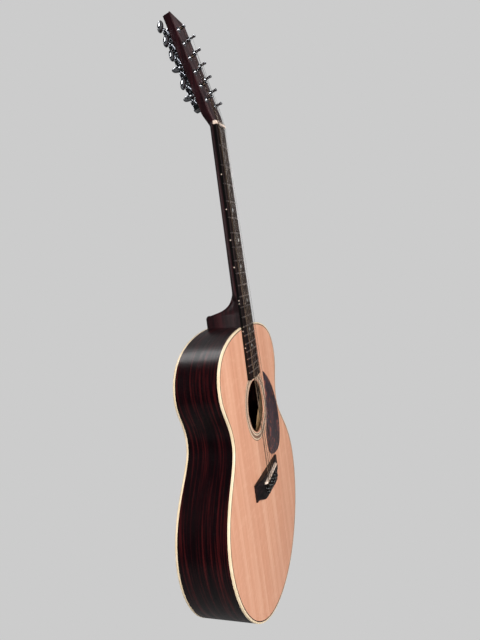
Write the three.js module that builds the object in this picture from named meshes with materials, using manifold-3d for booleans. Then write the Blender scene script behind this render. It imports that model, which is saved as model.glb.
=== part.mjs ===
// A twelve-string acoustic guitar with a jumbo body, as an assembly of its separate pieces.
//
// Millimetres. +Z runs up the neck, -Y is the way the soundboard faces, +X is the treble side.
// The origin is the middle of the rim at the tail, where the strap button is fixed.

import * as THREE from "three";
import { mergeVertices } from "three/addons/utils/BufferGeometryUtils.js";
import Module from "manifold-3d";

// ---- Driving dimensions ----

const GAP = 0.3; // clearance round a piece that sits in a seat
const GLUE_LINE = 0.1; // between pieces glued face to face inside the body

const BODY_LENGTH = 542;
const LOWER_BOUT = 435; // full widths
const WAIST = 279;
const UPPER_BOUT = 336;
const LOWER_BOUT_Z = 197; // heights of those widths above the tail
const WAIST_Z = 363;
const UPPER_BOUT_Z = 456;
const DEPTH_TAIL = 105;
const DEPTH_NECK = 78;

const SOUNDBOARD_THICKNESS = 3;
const BACK_THICKNESS = 2.8;
const SIDE_THICKNESS = 2.2;
const BINDING_WIDTH = 2.4; // seen from the front
const BINDING_HEIGHT = 6; // seen from the side
const LINING_WIDTH = 5.5;
const LINING_HEIGHT = 12;

const SCALE_LENGTH = 647.7;
const BODY_FRET = 14; // the neck meets the body at this fret
const FRET_COUNT = 20;
const NUT_WIDTH = 44.5;
const JOINT_WIDTH = 57.5; // fretboard width at the body
const BOARD_PAST_FRETS = 14; // fretboard beyond the last fret
const FRETBOARD_THICKNESS = 6;
const FRET_HEIGHT = 0.9;
const NUT_THICKNESS = 5.5;
const NUT_ABOVE_FRETS = 0.5;
const NECK_ANGLE = THREE.MathUtils.degToRad(0.6);
const NECK_DEPTH_NUT = 10.5; // wood behind the fretboard
const NECK_DEPTH_HEEL = 13.5;
const HEEL_DEPTH = 70; // from the fretboard to the heel cap
const HEEL_HEIGHT = 24; // along the neck, at the cap
const HEEL_CAP_THICKNESS = 2.5;
const TRUSS_ROD = { width: 6, depth: 8, margin: 12 };

const HEAD_ANGLE = THREE.MathUtils.degToRad(14.4);
const HEAD_RISE = 4.6; // the headstock's face starts this far in front of the neck's glue face
const HEAD_LENGTH = 205;
const HEAD_THICKNESS = 15;
const HEAD_WIDTH_LOW = 62; // where its sides become straight
const HEAD_WIDTH_TOP = 61;
const HEAD_FLARE = 26; // distance from the nut to where its sides become straight

const SOUNDHOLE_RADIUS = 48.5;
const SOUNDHOLE_Z = BODY_LENGTH - 155;
const ROSETTE_INNER = 50.5;
const ROSETTE_OUTER = 64.5;
const ROSETTE_DEPTH = 1.2;
const PICKGUARD_THICKNESS = 1.6;

const BRIDGE_WIDTH = 145;
const BRIDGE_HEIGHT = 9.5; // thickness under the saddle
const BRIDGE_WING_THICKNESS = 4;
const BRIDGE_END_HEIGHT = 31.5; // of the wings, along the strings
const BRIDGE_BELLY_HEIGHT = 41.5;
const SADDLE_LENGTH = 76;
const SADDLE_THICKNESS = 3.2;
const SADDLE_SHOWS = 5.2; // how far the saddle stands above the bridge
const SADDLE_SINKS = 6.5; // how far it goes into the bridge
const SADDLE_SLANT = THREE.MathUtils.degToRad(5.5); // the bass end lies further from the nut
const PIN_RADIUS = 2.6;
const PIN_HEAD = 4.5; // how far a pin stands above the bridge
const PIN_ROWS = [12, 21]; // distances of the two slanted rows of pins behind the saddle

const TUNERS_PER_SIDE = 6;
const TUNER_PITCH = 26;
const FIRST_TUNER = 44; // from the nut to the nearest post
const TUNER_FROM_EDGE = 8.5;
const POST_RADIUS = 2.5;
const POST_WAIST_RADIUS = 2.1;
const POST_HEIGHT = 14; // above the headstock's face
const GEAR = { teeth: 14, tip: 4.2, root: 3.4 };
const WORM_RADIUS = 1.7;
const WORM_OFFSET = 6.2; // from the post's axis to the worm's axis, towards the headstock's top
const GEARBOX = { width: 17, height: 22, depth: 10.5, corner: 4, below: 1 };
const BUTTON = { length: 17, width: 19, thickness: 7, middle: 26 };

// How far each button is left turned, from the nut to the top of the headstock, in degrees.
const BUTTON_TURNS = {
  bass: [90, 150, 80, 160, 150, 145],
  treble: [90, 80, 100, 85, 10, 60],
};

// From the bass side to the treble side. The four low courses pair a string with its octave.
const STRINGS = [
  { note: "e3", radius: 0.3, wound: true },
  { note: "e2", radius: 0.6, wound: true },
  { note: "a3", radius: 0.2, wound: false },
  { note: "a2", radius: 0.47, wound: true },
  { note: "d4", radius: 0.15, wound: false },
  { note: "d3", radius: 0.36, wound: true },
  { note: "g4", radius: 0.12, wound: false },
  { note: "g3", radius: 0.29, wound: true },
  { note: "b3_a", radius: 0.18, wound: false },
  { note: "b3_b", radius: 0.18, wound: false },
  { note: "e4_a", radius: 0.13, wound: false },
  { note: "e4_b", radius: 0.13, wound: false },
];
const NUT_SPREAD = { courses: 36, pair: 1.9 }; // first course to last, and within a pair
const SADDLE_SPREAD = { courses: 59, pair: 2.8 };
const STRING_HEIGHTS = [5.7, 8.2]; // above the headstock, on alternate posts, so that they clear

// ---- Places worked out from them ----

const FRONT_Y = -DEPTH_TAIL / 2; // the soundboard's outer face
const TOP_INNER_Y = FRONT_Y + SOUNDBOARD_THICKNESS;
const BRIDGE_TOP_Y = FRONT_Y - BRIDGE_HEIGHT;
const NECK_LENGTH = fretDistance(BODY_FRET); // from the body to the nut
const SADDLE_Z = BODY_LENGTH + NECK_LENGTH - SCALE_LENGTH;
const BRIDGE_EDGE_Z = SADDLE_Z + 8; // the bridge's straight edge, towards the soundhole
const BOARD_END = NECK_LENGTH - fretDistance(FRET_COUNT) - BOARD_PAST_FRETS;
const BOARD_FRONT = -FRETBOARD_THICKNESS - GAP; // in the neck's frame
const NUT_TOP = BOARD_FRONT - FRET_HEIGHT - NUT_ABOVE_FRETS;
const FAR = 400; // past the edge of any piece being cut

/** Distance from the nut to a fret. */
function fretDistance(n) {
  return SCALE_LENGTH * (1 - 2 ** (-n / 12));
}

/** A height function that is the same everywhere. */
const flat = (y) => () => y;

/** A height function at a distance in front of the back's outer face, which slopes. */
const fromBack = (distance) => (x, z) =>
  FRONT_Y + THREE.MathUtils.lerp(DEPTH_TAIL, DEPTH_NECK, z / BODY_LENGTH) - distance;

// ---- Solids ----

const wasm = await Module();
wasm.setup();

/** Turns a closed indexed geometry's faces outwards if they point in. */
function outward(geometry) {
  const position = geometry.attributes.position;
  const index = Array.from(geometry.index.array);
  const corner = (i) => new THREE.Vector3().fromBufferAttribute(position, index[i]);
  let volume = 0;
  for (let i = 0; i < index.length; i += 3) {
    volume += corner(i).dot(corner(i + 1).cross(corner(i + 2)));
  }
  if (volume < 0) geometry.setIndex(index.reverse());
  return geometry;
}

/** A closed three.js geometry as a manifold solid. */
function solid(geometry) {
  const bare = geometry.clone();
  bare.deleteAttribute("normal");
  bare.deleteAttribute("uv");
  const merged = outward(mergeVertices(bare, 1e-4));
  const vertProperties = new Float32Array(merged.attributes.position.array);
  const triVerts = new Uint32Array(merged.index.array);
  return new wasm.Manifold(new wasm.Mesh({ numProp: 3, vertProperties, triVerts }));
}

/** A manifold solid as a three.js geometry. */
function geometryOf(shape) {
  const { vertProperties, triVerts } = shape.getMesh();
  const geometry = new THREE.BufferGeometry();
  geometry.setAttribute("position", new THREE.Float32BufferAttribute(vertProperties, 3));
  geometry.setIndex(new THREE.Uint32BufferAttribute(triVerts, 1));
  return geometry;
}

/** Several geometries joined into one solid. */
const joined = (...geometries) => geometries.map(solid).reduce((a, b) => a.add(b));

/** A solid with geometries cut out of it. */
const cut = (shape, ...geometries) => geometries.map(solid).reduce((a, b) => a.subtract(b), shape);

/**
 * A plate seen from the front: a contour of (x, z) points, with optional holes, between two
 * height functions along Y.
 */
function slab(contour, front, back, holes = []) {
  const clockwise = THREE.ShapeUtils.isClockWise;
  const outer = clockwise(contour) ? contour : contour.toReversed();
  const inners = holes.map((hole) => (clockwise(hole) ? hole.toReversed() : hole));
  const rings = [outer, ...inners];
  const points = rings.flat();
  const count = points.length;
  const positions = [front, back].flatMap((y) => points.flatMap((p) => [p.x, y(p.x, p.y), p.y]));
  const index = [];
  for (const [a, b, c] of THREE.ShapeUtils.triangulateShape(outer, inners)) {
    index.push(c, b, a, count + a, count + b, count + c);
  }
  let start = 0;
  for (const ring of rings) {
    for (let i = 0; i < ring.length; i++) {
      const a = start + i;
      const b = start + ((i + 1) % ring.length);
      index.push(b, a, count + b, a, count + a, count + b);
    }
    start += ring.length;
  }
  const geometry = new THREE.BufferGeometry();
  geometry.setAttribute("position", new THREE.Float32BufferAttribute(positions, 3));
  return outward(geometry.setIndex(index));
}

/** A closed skin over rings of equally many points; each ring is star-shaped from its first. */
function loft(rings) {
  const size = rings[0].length;
  const positions = rings.flat().flatMap((p) => p.toArray());
  const index = [];
  for (let r = 0; r + 1 < rings.length; r++) {
    for (let i = 0; i < size; i++) {
      const a = r * size + i;
      const b = r * size + ((i + 1) % size);
      index.push(a, b, b + size, a, b + size, a + size);
    }
  }
  const last = (rings.length - 1) * size;
  for (let i = 1; i + 1 < size; i++) {
    index.push(0, i + 1, i, last, last + i, last + i + 1);
  }
  const geometry = new THREE.BufferGeometry();
  geometry.setAttribute("position", new THREE.Float32BufferAttribute(positions, 3));
  return outward(geometry.setIndex(index));
}

/** A box between two corners. */
function box(low, high) {
  const size = low.map((value, k) => high[k] - value);
  const middle = low.map((value, k) => (value + high[k]) / 2);
  return new THREE.BoxGeometry(...size).translate(...middle);
}

/** A round peg along Y, from y0 to y1 at (x, z). */
function pegY(radius, y0, y1, x, z, sides) {
  const geometry = new THREE.CylinderGeometry(radius, radius, y1 - y0, sides);
  return geometry.translate(x, (y0 + y1) / 2, z);
}

/** A round peg along X, from x0 to x1 at (y, z). */
function pegX(radius, x0, x1, y, z, sides) {
  const geometry = new THREE.CylinderGeometry(radius, radius, Math.abs(x1 - x0), sides);
  return geometry.rotateZ(Math.PI / 2).translate((x0 + x1) / 2, y, z);
}

/** The points of a circle round the soundhole's centre. */
function ringPoints(radius) {
  const arc = new THREE.EllipseCurve(0, SOUNDHOLE_Z, radius, radius, 0, 2 * Math.PI);
  return arc.getPoints(40).slice(0, -1);
}

/** The corners of a bar in the (x, z) plane, from one end to the other. */
function bar(x0, z0, x1, z1, width) {
  const [from, to] = [new THREE.Vector2(x0, z0), new THREE.Vector2(x1, z1)];
  const along = to.clone().sub(from).normalize();
  const across = new THREE.Vector2(-along.y, along.x).multiplyScalar(width / 2);
  return [
    from.clone().add(across),
    to.clone().add(across),
    to.clone().sub(across),
    from.clone().sub(across),
  ];
}

// ---- Materials ----

const finish = (color, roughness, metalness = 0) =>
  new THREE.MeshStandardMaterial({ color, roughness, metalness, flatShading: true });

const materials = {
  spruce: finish(0xe0ab80, 0.45),
  rosewood: finish(0x2a1013, 0.35),
  mahogany: finish(0x321418, 0.4),
  cream: finish(0xf3e6bd, 0.4),
  ebony: finish(0x151213, 0.45),
  boardwood: finish(0x3a2a28, 0.5),
  bone: finish(0xf2e3d2, 0.4),
  tortoise: finish(0x2c2025, 0.2),
  chrome: finish(0xd8d8dc, 0.15, 1),
  steel: finish(0xa8a8ac, 0.35, 1),
  bronze: finish(0xb08054, 0.35, 1),
  bracewood: finish(0xd9b88a, 0.7),
};

/** Adds a named piece to a group. */
function add(group, name, shape, material) {
  const geometry = shape.isBufferGeometry ? shape : geometryOf(shape);
  const mesh = new THREE.Mesh(geometry, material);
  mesh.name = name;
  group.add(mesh);
  return mesh;
}

// ---- The guitar's frames: the body, the neck leaning back, the headstock leaning further ----

const guitar = new THREE.Group();

const neckGroup = new THREE.Group();
neckGroup.position.set(0, FRONT_Y, BODY_LENGTH);
neckGroup.rotation.x = -NECK_ANGLE;
guitar.add(neckGroup);

const headGroup = new THREE.Group();
headGroup.position.set(0, -HEAD_RISE, NECK_LENGTH);
headGroup.rotation.x = -HEAD_ANGLE;
neckGroup.add(headGroup);

/** Moves a geometry from the headstock's frame into the neck's. */
const fromHead = (geometry) => geometry.rotateX(-HEAD_ANGLE).translate(0, -HEAD_RISE, NECK_LENGTH);

// ---- Body outline ----

const OUTLINE_STEPS = 8; // points on each of the outline's eight curves

/** Half of the outline, from the neck to the tail, on the treble side (1) or the bass side (-1). */
function halfOutline(side) {
  const [u, w, l] = [UPPER_BOUT / 2, WAIST / 2, LOWER_BOUT / 2];
  const [top, uz, wz, lz] = [BODY_LENGTH, UPPER_BOUT_Z, WAIST_Z, LOWER_BOUT_Z];
  const curves = [
    [[0, top], [102, top], [u, uz + 60], [u, uz]],
    [[u, uz], [u, uz - 37], [w, wz + 39], [w, wz]],
    [[w, wz], [w, wz - 45], [l, lz + 90], [l, lz]],
    [[l, lz], [l, lz - 85], [141, 0], [0, 0]],
  ];
  return curves.flatMap((handles, i) => {
    const points = handles.map(([x, z]) => new THREE.Vector2(side * x, z));
    return new THREE.CubicBezierCurve(...points).getPoints(OUTLINE_STEPS).slice(i ? 1 : 0);
  });
}

const OUTLINE = [...halfOutline(1), ...halfOutline(-1).slice(1, -1).reverse()];

/** The outline moved inwards by a distance. */
function inset(distance) {
  return OUTLINE.map((point, i) => {
    const before = OUTLINE.at(i - 1);
    const after = OUTLINE[(i + 1) % OUTLINE.length];
    const along = after.clone().sub(before).normalize();
    return new THREE.Vector2(along.y, -along.x).multiplyScalar(distance).add(point);
  });
}

/** A closed band between two insets of the outline. */
const band = (outer, inner, front, back) => slab(inset(outer), front, back, [inset(inner)]);

// ---- Soundbox ----

function addPlates() {
  const hole = ringPoints(SOUNDHOLE_RADIUS);
  const plate = slab(inset(BINDING_WIDTH), flat(FRONT_Y), flat(TOP_INNER_Y), [hole]);
  const floor = FRONT_Y + ROSETTE_DEPTH;
  const channel = slab(ringPoints(ROSETTE_OUTER), flat(FRONT_Y - 1), flat(floor), [
    ringPoints(ROSETTE_INNER),
  ]);
  add(guitar, "soundboard", cut(solid(plate), channel), materials.spruce);
  const rosette = slab(ringPoints(ROSETTE_OUTER - GAP), flat(FRONT_Y), flat(floor - GLUE_LINE), [
    ringPoints(ROSETTE_INNER + GAP),
  ]);
  add(guitar, "rosette", rosette, materials.ebony);
  const back = slab(inset(BINDING_WIDTH), fromBack(BACK_THICKNESS), fromBack(0));
  add(guitar, "back", back, materials.rosewood);
}

function addBindings() {
  const top = band(0, BINDING_WIDTH, flat(FRONT_Y), flat(FRONT_Y + BINDING_HEIGHT));
  const back = band(0, BINDING_WIDTH, fromBack(BINDING_HEIGHT), fromBack(0));
  add(guitar, "top_binding", top, materials.cream);
  add(guitar, "back_binding", back, materials.cream);
}

// The tenon passes between the linings; front and back are distances behind the soundboard's face.
const TENON = { halfWidth: 10, length: 20, front: 17, back: 60 };

/** The seat of the neck's tenon through the rim and into the neck block. */
function tenonSeat() {
  const room = TENON.halfWidth + GAP;
  return box(
    [-room, FRONT_Y + TENON.front - 1, BODY_LENGTH - TENON.length - 2],
    [room, FRONT_Y + TENON.back + 1, BODY_LENGTH + 5],
  );
}

const STRAP_PEG_RADIUS = 4;

/** The hole for the strap button's peg, through the rim and the tail block. */
function pegHole() {
  const radius = STRAP_PEG_RADIUS + GAP;
  return new THREE.CylinderGeometry(radius, radius, 60, 12).rotateX(Math.PI / 2);
}

/** One bent side, from the tail seam round to the neck. */
function addSide(name, side) {
  const front = flat(FRONT_Y + BINDING_HEIGHT);
  const rim = band(0, SIDE_THICKNESS, front, fromBack(BINDING_HEIGHT + GLUE_LINE));
  const otherHalf = box([-FAR, -FAR, -FAR], [GAP / 2, FAR, 2 * FAR]);
  if (side < 0) otherHalf.rotateZ(Math.PI);
  add(guitar, name, cut(solid(rim), otherHalf, tenonSeat(), pegHole()), materials.rosewood);
}

function addLiningsAndBlocks() {
  const outer = BINDING_WIDTH + GLUE_LINE;
  const inner = outer + LINING_WIDTH;
  const topFace = SOUNDBOARD_THICKNESS + GAP;
  const backFace = BACK_THICKNESS + GAP;
  const topLining = (a, b, spare) =>
    band(a, b, flat(FRONT_Y + topFace - spare), flat(FRONT_Y + topFace + LINING_HEIGHT + spare));
  const backLining = (a, b, spare) =>
    band(a, b, fromBack(backFace + LINING_HEIGHT + spare), fromBack(backFace - spare));
  add(guitar, "top_lining", topLining(outer, inner, 0), materials.bracewood);
  add(guitar, "back_lining", backLining(outer, inner, 0), materials.bracewood);

  const inside = slab(inset(outer + GLUE_LINE), flat(FRONT_Y + topFace), fromBack(backFace));
  const notches = [topLining, backLining].map((lining) => lining(0, inner + GAP, 1));
  const block = (halfWidth, z0, z1) => {
    const space = box([-halfWidth, -FAR, z0], [halfWidth, FAR, z1]);
    return cut(solid(inside).intersect(solid(space)), ...notches);
  };
  const neckBlock = cut(block(38, BODY_LENGTH - 62, BODY_LENGTH), tenonSeat());
  add(guitar, "neck_block", neckBlock, materials.bracewood);
  add(guitar, "tail_block", cut(block(40, 0, 22), pegHole()), materials.bracewood);
}

/** The X brace and the braces and bridge plate that are glued up with it, inside the front. */
function addTopBracing() {
  const inner = TOP_INNER_Y + GLUE_LINE;
  const brace = (x0, z0, x1, z1, width, height) =>
    slab(bar(x0, z0, x1, z1, width), flat(inner), flat(inner + height));
  const mirrored = [-1, 1].flatMap((side) => [
    brace(side * -175, 118, side * 132, 433, 8, 14), // a leg of the X
    brace(side * 66, 362, side * 66, 456, 7, 7), // beside the soundhole
    brace(side * 80, 214, side * 190, 200, 6, 7), // finger brace
  ]);
  const bracing = joined(
    ...mirrored,
    brace(-160, 456, 160, 456, 12, 15), // transverse brace above the soundhole
    brace(-118, 178, 96, 96, 7, 10), // tone bars
    brace(-74, 222, 150, 138, 7, 10),
    brace(0, 226, 0, 272, 168, 2.6), // bridge plate
  );
  const room = slab(inset(12), flat(inner - 1), flat(inner + 20));
  add(guitar, "top_bracing", bracing.intersect(solid(room)), materials.bracewood);
}

/** Ladder braces across the back, with the strip over its centre seam. */
function addBackBracing() {
  const ladder = [
    { z: 90, width: 16 },
    { z: 210, width: 16 },
    { z: 335, width: 8 },
    { z: 452, width: 8 },
  ].map(({ z, width }) => {
    const plan = bar(-210, z, 210, z, width);
    return slab(plan, fromBack(BACK_THICKNESS + 14), fromBack(BACK_THICKNESS + GAP));
  });
  const strip = bar(0, 40, 0, 470, 18);
  const seam = slab(strip, fromBack(BACK_THICKNESS + 3), fromBack(BACK_THICKNESS + GAP));
  const room = slab(inset(12), fromBack(20), fromBack(0));
  const bracing = joined(...ladder, seam).intersect(solid(room));
  add(guitar, "back_bracing", bracing, materials.bracewood);
}

/** A teardrop on the treble side of the soundhole, from its tip down and back up. */
function addPickguard() {
  const shape = new THREE.Shape();
  const curve = (...numbers) => shape.bezierCurveTo(...numbers);
  shape.moveTo(66, 51);
  curve(68, 15, 60, -28, 41, -59);
  curve(36, -70, 34, -90, 40, -103);
  curve(46, -118, 64, -124, 92, -124);
  curve(118, -124, 134, -100, 134, -63);
  curve(134, -18, 112, 24, 66, 51);
  const points = shape.getPoints(7).slice(0, -1);
  const guard = slab(points, flat(FRONT_Y - PICKGUARD_THICKNESS), flat(FRONT_Y));
  guard.translate(0, 0, SOUNDHOLE_Z);
  add(guitar, "pickguard", guard, materials.tortoise);
}

/** A peg with a collar and a rounded head for a strap. */
function addStrapButton() {
  const profile = [
    [0, -14],
    [8.5, -14],
    [8.5, -12],
    [5, -9],
    [5, -4.5],
    [9, -2.5],
    [9, -GAP],
    [STRAP_PEG_RADIUS, -GAP],
    [STRAP_PEG_RADIUS, 18],
    [0, 18],
  ].map(([radius, z]) => new THREE.Vector2(radius, z));
  const button = new THREE.LatheGeometry(profile, 12).rotateX(Math.PI / 2);
  add(guitar, "strap_button", solid(button), materials.ebony);
}

// ---- Bridge and saddle ----

/** Where a string lies across the guitar, for a given spread. */
function stringAcross(index, { courses, pair }) {
  const course = Math.floor(index / 2);
  const along = course / (STRINGS.length / 2 - 1) - 0.5;
  return courses * along + (index % 2 ? 0.5 : -0.5) * pair;
}

/** A string's pin: the near row is set aside, so that the far row's strings pass it. */
function pinPlace(index) {
  const aside = index % 2 ? 0 : PIN_RADIUS - 0.8;
  const x = stringAcross(index, SADDLE_SPREAD) - aside;
  return { x, z: SADDLE_Z + x * Math.tan(SADDLE_SLANT) - PIN_ROWS[index % 2] };
}

/** A straight edge towards the soundhole, square wing ends and a shallow belly towards the tail. */
function bridgeOutline() {
  const half = BRIDGE_WIDTH / 2;
  const wing = -BRIDGE_END_HEIGHT;
  const belly = -BRIDGE_BELLY_HEIGHT;
  const hollow = wing + 3;
  const shape = new THREE.Shape();
  shape.moveTo(-half, 0);
  shape.lineTo(half, 0);
  shape.lineTo(half, wing);
  shape.bezierCurveTo(half - 14, hollow, half - 24, belly, half - 44, belly);
  shape.lineTo(44 - half, belly);
  shape.bezierCurveTo(24 - half, belly, 14 - half, hollow, -half, wing);
  return shape.getPoints(6).slice(0, -1);
}

/** The bridge seen from its edge: full thickness in the middle, thin at the wing ends. */
function bridgeProfile() {
  const half = BRIDGE_WIDTH / 2 + 1;
  const [full, thin] = [-BRIDGE_HEIGHT, -BRIDGE_WING_THICKNESS];
  const shape = new THREE.Shape();
  shape.moveTo(-half, 0);
  shape.lineTo(-half, thin);
  shape.bezierCurveTo(14 - half, thin, 18 - half, full, 32 - half, full);
  shape.lineTo(half - 32, full);
  shape.bezierCurveTo(half - 18, full, half - 14, thin, half, thin);
  shape.lineTo(half, 0);
  return shape;
}

/** A bar along the saddle between two heights, grown by a clearance. */
function saddleBar(grow, y0, y1) {
  const [x, z] = [SADDLE_LENGTH / 2 + grow, SADDLE_THICKNESS / 2 + grow];
  return box([-x, y0, -z], [x, y1, z]).rotateY(-SADDLE_SLANT).translate(0, 0, SADDLE_Z);
}

function addBridge() {
  const plan = slab(bridgeOutline(), flat(BRIDGE_TOP_Y), flat(FRONT_Y));
  plan.translate(0, 0, BRIDGE_EDGE_Z);
  const depth = BRIDGE_BELLY_HEIGHT + 2;
  const side = new THREE.ExtrudeGeometry(bridgeProfile(), { depth, bevelEnabled: false, curveSegments: 5 });
  side.translate(0, FRONT_Y, BRIDGE_EDGE_Z - depth + 1);
  const slot = saddleBar(GAP, BRIDGE_TOP_Y - 1, BRIDGE_TOP_Y + SADDLE_SINKS + GAP);
  const pins = STRINGS.map((string, i) => {
    const { x, z } = pinPlace(i);
    return pegY(PIN_RADIUS, BRIDGE_TOP_Y - PIN_HEAD, BRIDGE_TOP_Y + 1, x, z, 8);
  });
  const block = cut(solid(plan).intersect(solid(side)), slot);
  add(guitar, "bridge", block.add(joined(...pins)), materials.ebony);
  const saddle = saddleBar(0, BRIDGE_TOP_Y - SADDLE_SHOWS, BRIDGE_TOP_Y + SADDLE_SINKS);
  add(guitar, "saddle", saddle, materials.bone);
}

// ---- Neck ----

/** Half the fretboard's width at a height above the body. */
const boardHalf = (z) => THREE.MathUtils.lerp(JOINT_WIDTH, NUT_WIDTH, z / NECK_LENGTH) / 2;

/** Half the headstock's width at a distance from the nut. */
function headHalf(s) {
  const straight = THREE.MathUtils.mapLinear(s, HEAD_FLARE, HEAD_LENGTH, HEAD_WIDTH_LOW, HEAD_WIDTH_TOP);
  const flare = THREE.MathUtils.smoothstep(s, 0, HEAD_FLARE);
  return THREE.MathUtils.lerp(NUT_WIDTH, straight, flare) / 2;
}

// Half sections of the neck run from the front edge to the middle of the back, in seven points.

/** A playing section, rounded behind. */
function roundHalf(half, depth) {
  return Array.from({ length: 7 }, (_, i) => {
    const angle = (Math.PI / 2) * (i / 6);
    return new THREE.Vector2(half * Math.cos(angle) ** 0.8, depth * Math.sin(angle) ** 0.85);
  });
}

/** A headstock section, square behind. */
function squareHalf(half, depth) {
  return [
    [half, 0],
    [half, depth / 2],
    [half, depth - 1.5],
    [half - 0.5, depth - 0.5],
    [half - 1.5, depth],
    [half / 2, depth],
    [0, depth],
  ].map(([x, y]) => new THREE.Vector2(x, y));
}

/** A heel section, with hollow cheeks and a narrow flat back. */
function heelHalf(half, depth, back) {
  const cheek = [0, 0.12, 0.3, 0.55, 0.85, 1].map((t) => {
    const x = THREE.MathUtils.lerp(back, half, (1 - t) ** 2.2);
    return new THREE.Vector2(x, depth * t);
  });
  return [...cheek, new THREE.Vector2(0, depth)];
}

/** A whole ring from a half section, starting at the middle of its front. */
function ringAt(z, halfSection) {
  const right = halfSection.map((p) => new THREE.Vector3(p.x, p.y, z));
  const left = halfSection.slice(0, -1).map((p) => new THREE.Vector3(-p.x, p.y, z));
  return [new THREE.Vector3(0, 0, z), ...right, ...left.reverse()];
}

/** The neck from the headstock down to the heel cap, cut off where it meets the rim. */
function shaftAndHeel() {
  const playing = [NECK_LENGTH, 240, 120, 62].map((z) => {
    const depth = THREE.MathUtils.mapLinear(z, NECK_LENGTH, 62, NECK_DEPTH_NUT, NECK_DEPTH_HEEL);
    return ringAt(z, roundHalf(boardHalf(z), depth));
  });
  const heel = [
    { z: 48, depth: 15.5, back: 12 },
    { z: 40, depth: 20, back: 12.5 },
    { z: 34, depth: 30, back: 12.5 },
    { z: 29.5, depth: 41, back: 12 },
    { z: 27, depth: 52, back: 11.5 },
    { z: HEEL_HEIGHT + 1, depth: HEEL_DEPTH - 4, back: 11 },
    { z: HEEL_HEIGHT, depth: HEEL_DEPTH, back: 11 },
    { z: -4, depth: HEEL_DEPTH, back: 11 },
  ].map(({ z, depth, back }, i) => {
    const section = heelHalf(boardHalf(z), depth, back);
    if (i === 0) {
      roundHalf(boardHalf(z), depth).forEach((p, k) => section[k].lerp(p, 0.6));
    }
    return ringAt(z, section);
  });
  const body = box([-FAR, -50, -FAR], [FAR, FAR, GAP]).rotateX(NECK_ANGLE);
  return cut(solid(loft([...playing, ...heel])), body);
}

/** The headstock, round behind at the nut and square above it. */
function headstock() {
  const rings = [0.6, 7, 14, 20, HEAD_FLARE, HEAD_LENGTH].map((s) => {
    const square = squareHalf(headHalf(s), HEAD_THICKNESS);
    const round = roundHalf(headHalf(s), HEAD_THICKNESS);
    const blend = THREE.MathUtils.smoothstep(s, 0, HEAD_FLARE);
    return ringAt(s, round.map((p, i) => p.lerp(square[i], blend)));
  });
  return fromHead(loft(rings));
}

/** A box round the truss rod, grown by a clearance; the channel's is open to the fretboard. */
function trussRod(grow, front) {
  const half = TRUSS_ROD.width / 2 + grow;
  const { margin, depth } = TRUSS_ROD;
  return box([-half, front, margin - grow], [half, 1 + depth + grow, NECK_LENGTH - margin + grow]);
}

/** The nut's box, grown by a clearance. */
function nutBox(grow) {
  const half = NUT_WIDTH / 2 + (grow ? 5 : 0);
  const z = NECK_LENGTH + GAP;
  return box([-half, NUT_TOP - grow, z - grow], [half, grow, z + NUT_THICKNESS + grow]);
}

function addNeck() {
  const tenon = box(
    [-TENON.halfWidth, TENON.front + GAP, -TENON.length],
    [TENON.halfWidth, TENON.back - GAP, 6],
  );
  const bores = tunerPlaces().map(({ x, s }) => fromHead(pegY(POST_RADIUS + 0.5, -40, 60, x, s, 10)));
  const channel = trussRod(GAP, -5);
  const boardSeat = box([-FAR, -50, 0], [FAR, 0, NECK_LENGTH + GAP]);
  const wood = shaftAndHeel().add(solid(headstock())).add(solid(tenon));
  add(neckGroup, "neck", cut(wood, channel, boardSeat, nutBox(GAP), ...bores), materials.mahogany);
  add(neckGroup, "truss_rod", trussRod(0, 1), materials.steel);
  add(neckGroup, "nut", nutBox(0), materials.bone);
}

function addHeelCap() {
  const low = HEEL_DEPTH * Math.tan(NECK_ANGLE) + 2 * GAP;
  const shape = new THREE.Shape();
  shape.moveTo(-11, low);
  shape.lineTo(11, low);
  shape.lineTo(10.5, HEEL_HEIGHT - 6);
  shape.bezierCurveTo(10, HEEL_HEIGHT - 1, 4, HEEL_HEIGHT, 0, HEEL_HEIGHT);
  shape.bezierCurveTo(-4, HEEL_HEIGHT, -10, HEEL_HEIGHT - 1, -10.5, HEEL_HEIGHT - 6);
  const front = HEEL_DEPTH + GAP;
  const cap = slab(shape.getPoints(4).slice(0, -1), flat(front), flat(front + HEEL_CAP_THICKNESS));
  add(neckGroup, "heel_cap", cap, materials.ebony);
}

/** The board with its frets. Over the body a wedge fills the angle to the soundboard. */
function addFretboard() {
  const section = (z) => {
    const half = boardHalf(z);
    const under = Math.max(0, -z * Math.tan(NECK_ANGLE)) - GAP;
    return [
      new THREE.Vector3(-half, BOARD_FRONT, z),
      new THREE.Vector3(half, BOARD_FRONT, z),
      new THREE.Vector3(half, under, z),
      new THREE.Vector3(-half, under, z),
    ];
  };
  const crown = new THREE.Shape();
  crown.moveTo(-1.2, 0.5);
  crown.lineTo(-1.2, -FRET_HEIGHT / 2);
  crown.lineTo(0, -FRET_HEIGHT);
  crown.lineTo(1.2, -FRET_HEIGHT / 2);
  crown.lineTo(1.2, 0.5);
  const frets = Array.from({ length: FRET_COUNT }, (_, i) => {
    const z = NECK_LENGTH - fretDistance(i + 1);
    const half = boardHalf(z) - 0.2;
    const fret = new THREE.ExtrudeGeometry(crown, { depth: 2 * half, bevelEnabled: false });
    return fret.rotateY(Math.PI / 2).translate(-half, BOARD_FRONT, z);
  });
  const board = loft([section(BOARD_END), section(0), section(NECK_LENGTH)]);
  add(neckGroup, "fretboard", joined(board, ...frets), materials.boardwood);
}

// ---- Tuning machines ----

const GEARBOX_FRONT = HEAD_THICKNESS + GAP;
const WORM_Y = GEARBOX_FRONT + 5;

/** The posts' places in the headstock's frame, bass side first, each side from the nut up. */
function tunerPlaces() {
  return [-1, 1].flatMap((side) =>
    Array.from({ length: TUNERS_PER_SIDE }, (_, i) => {
      const s = FIRST_TUNER + i * TUNER_PITCH;
      return { side, number: i + 1, s, x: side * (headHalf(s) - TUNER_FROM_EDGE) };
    }),
  );
}

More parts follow.
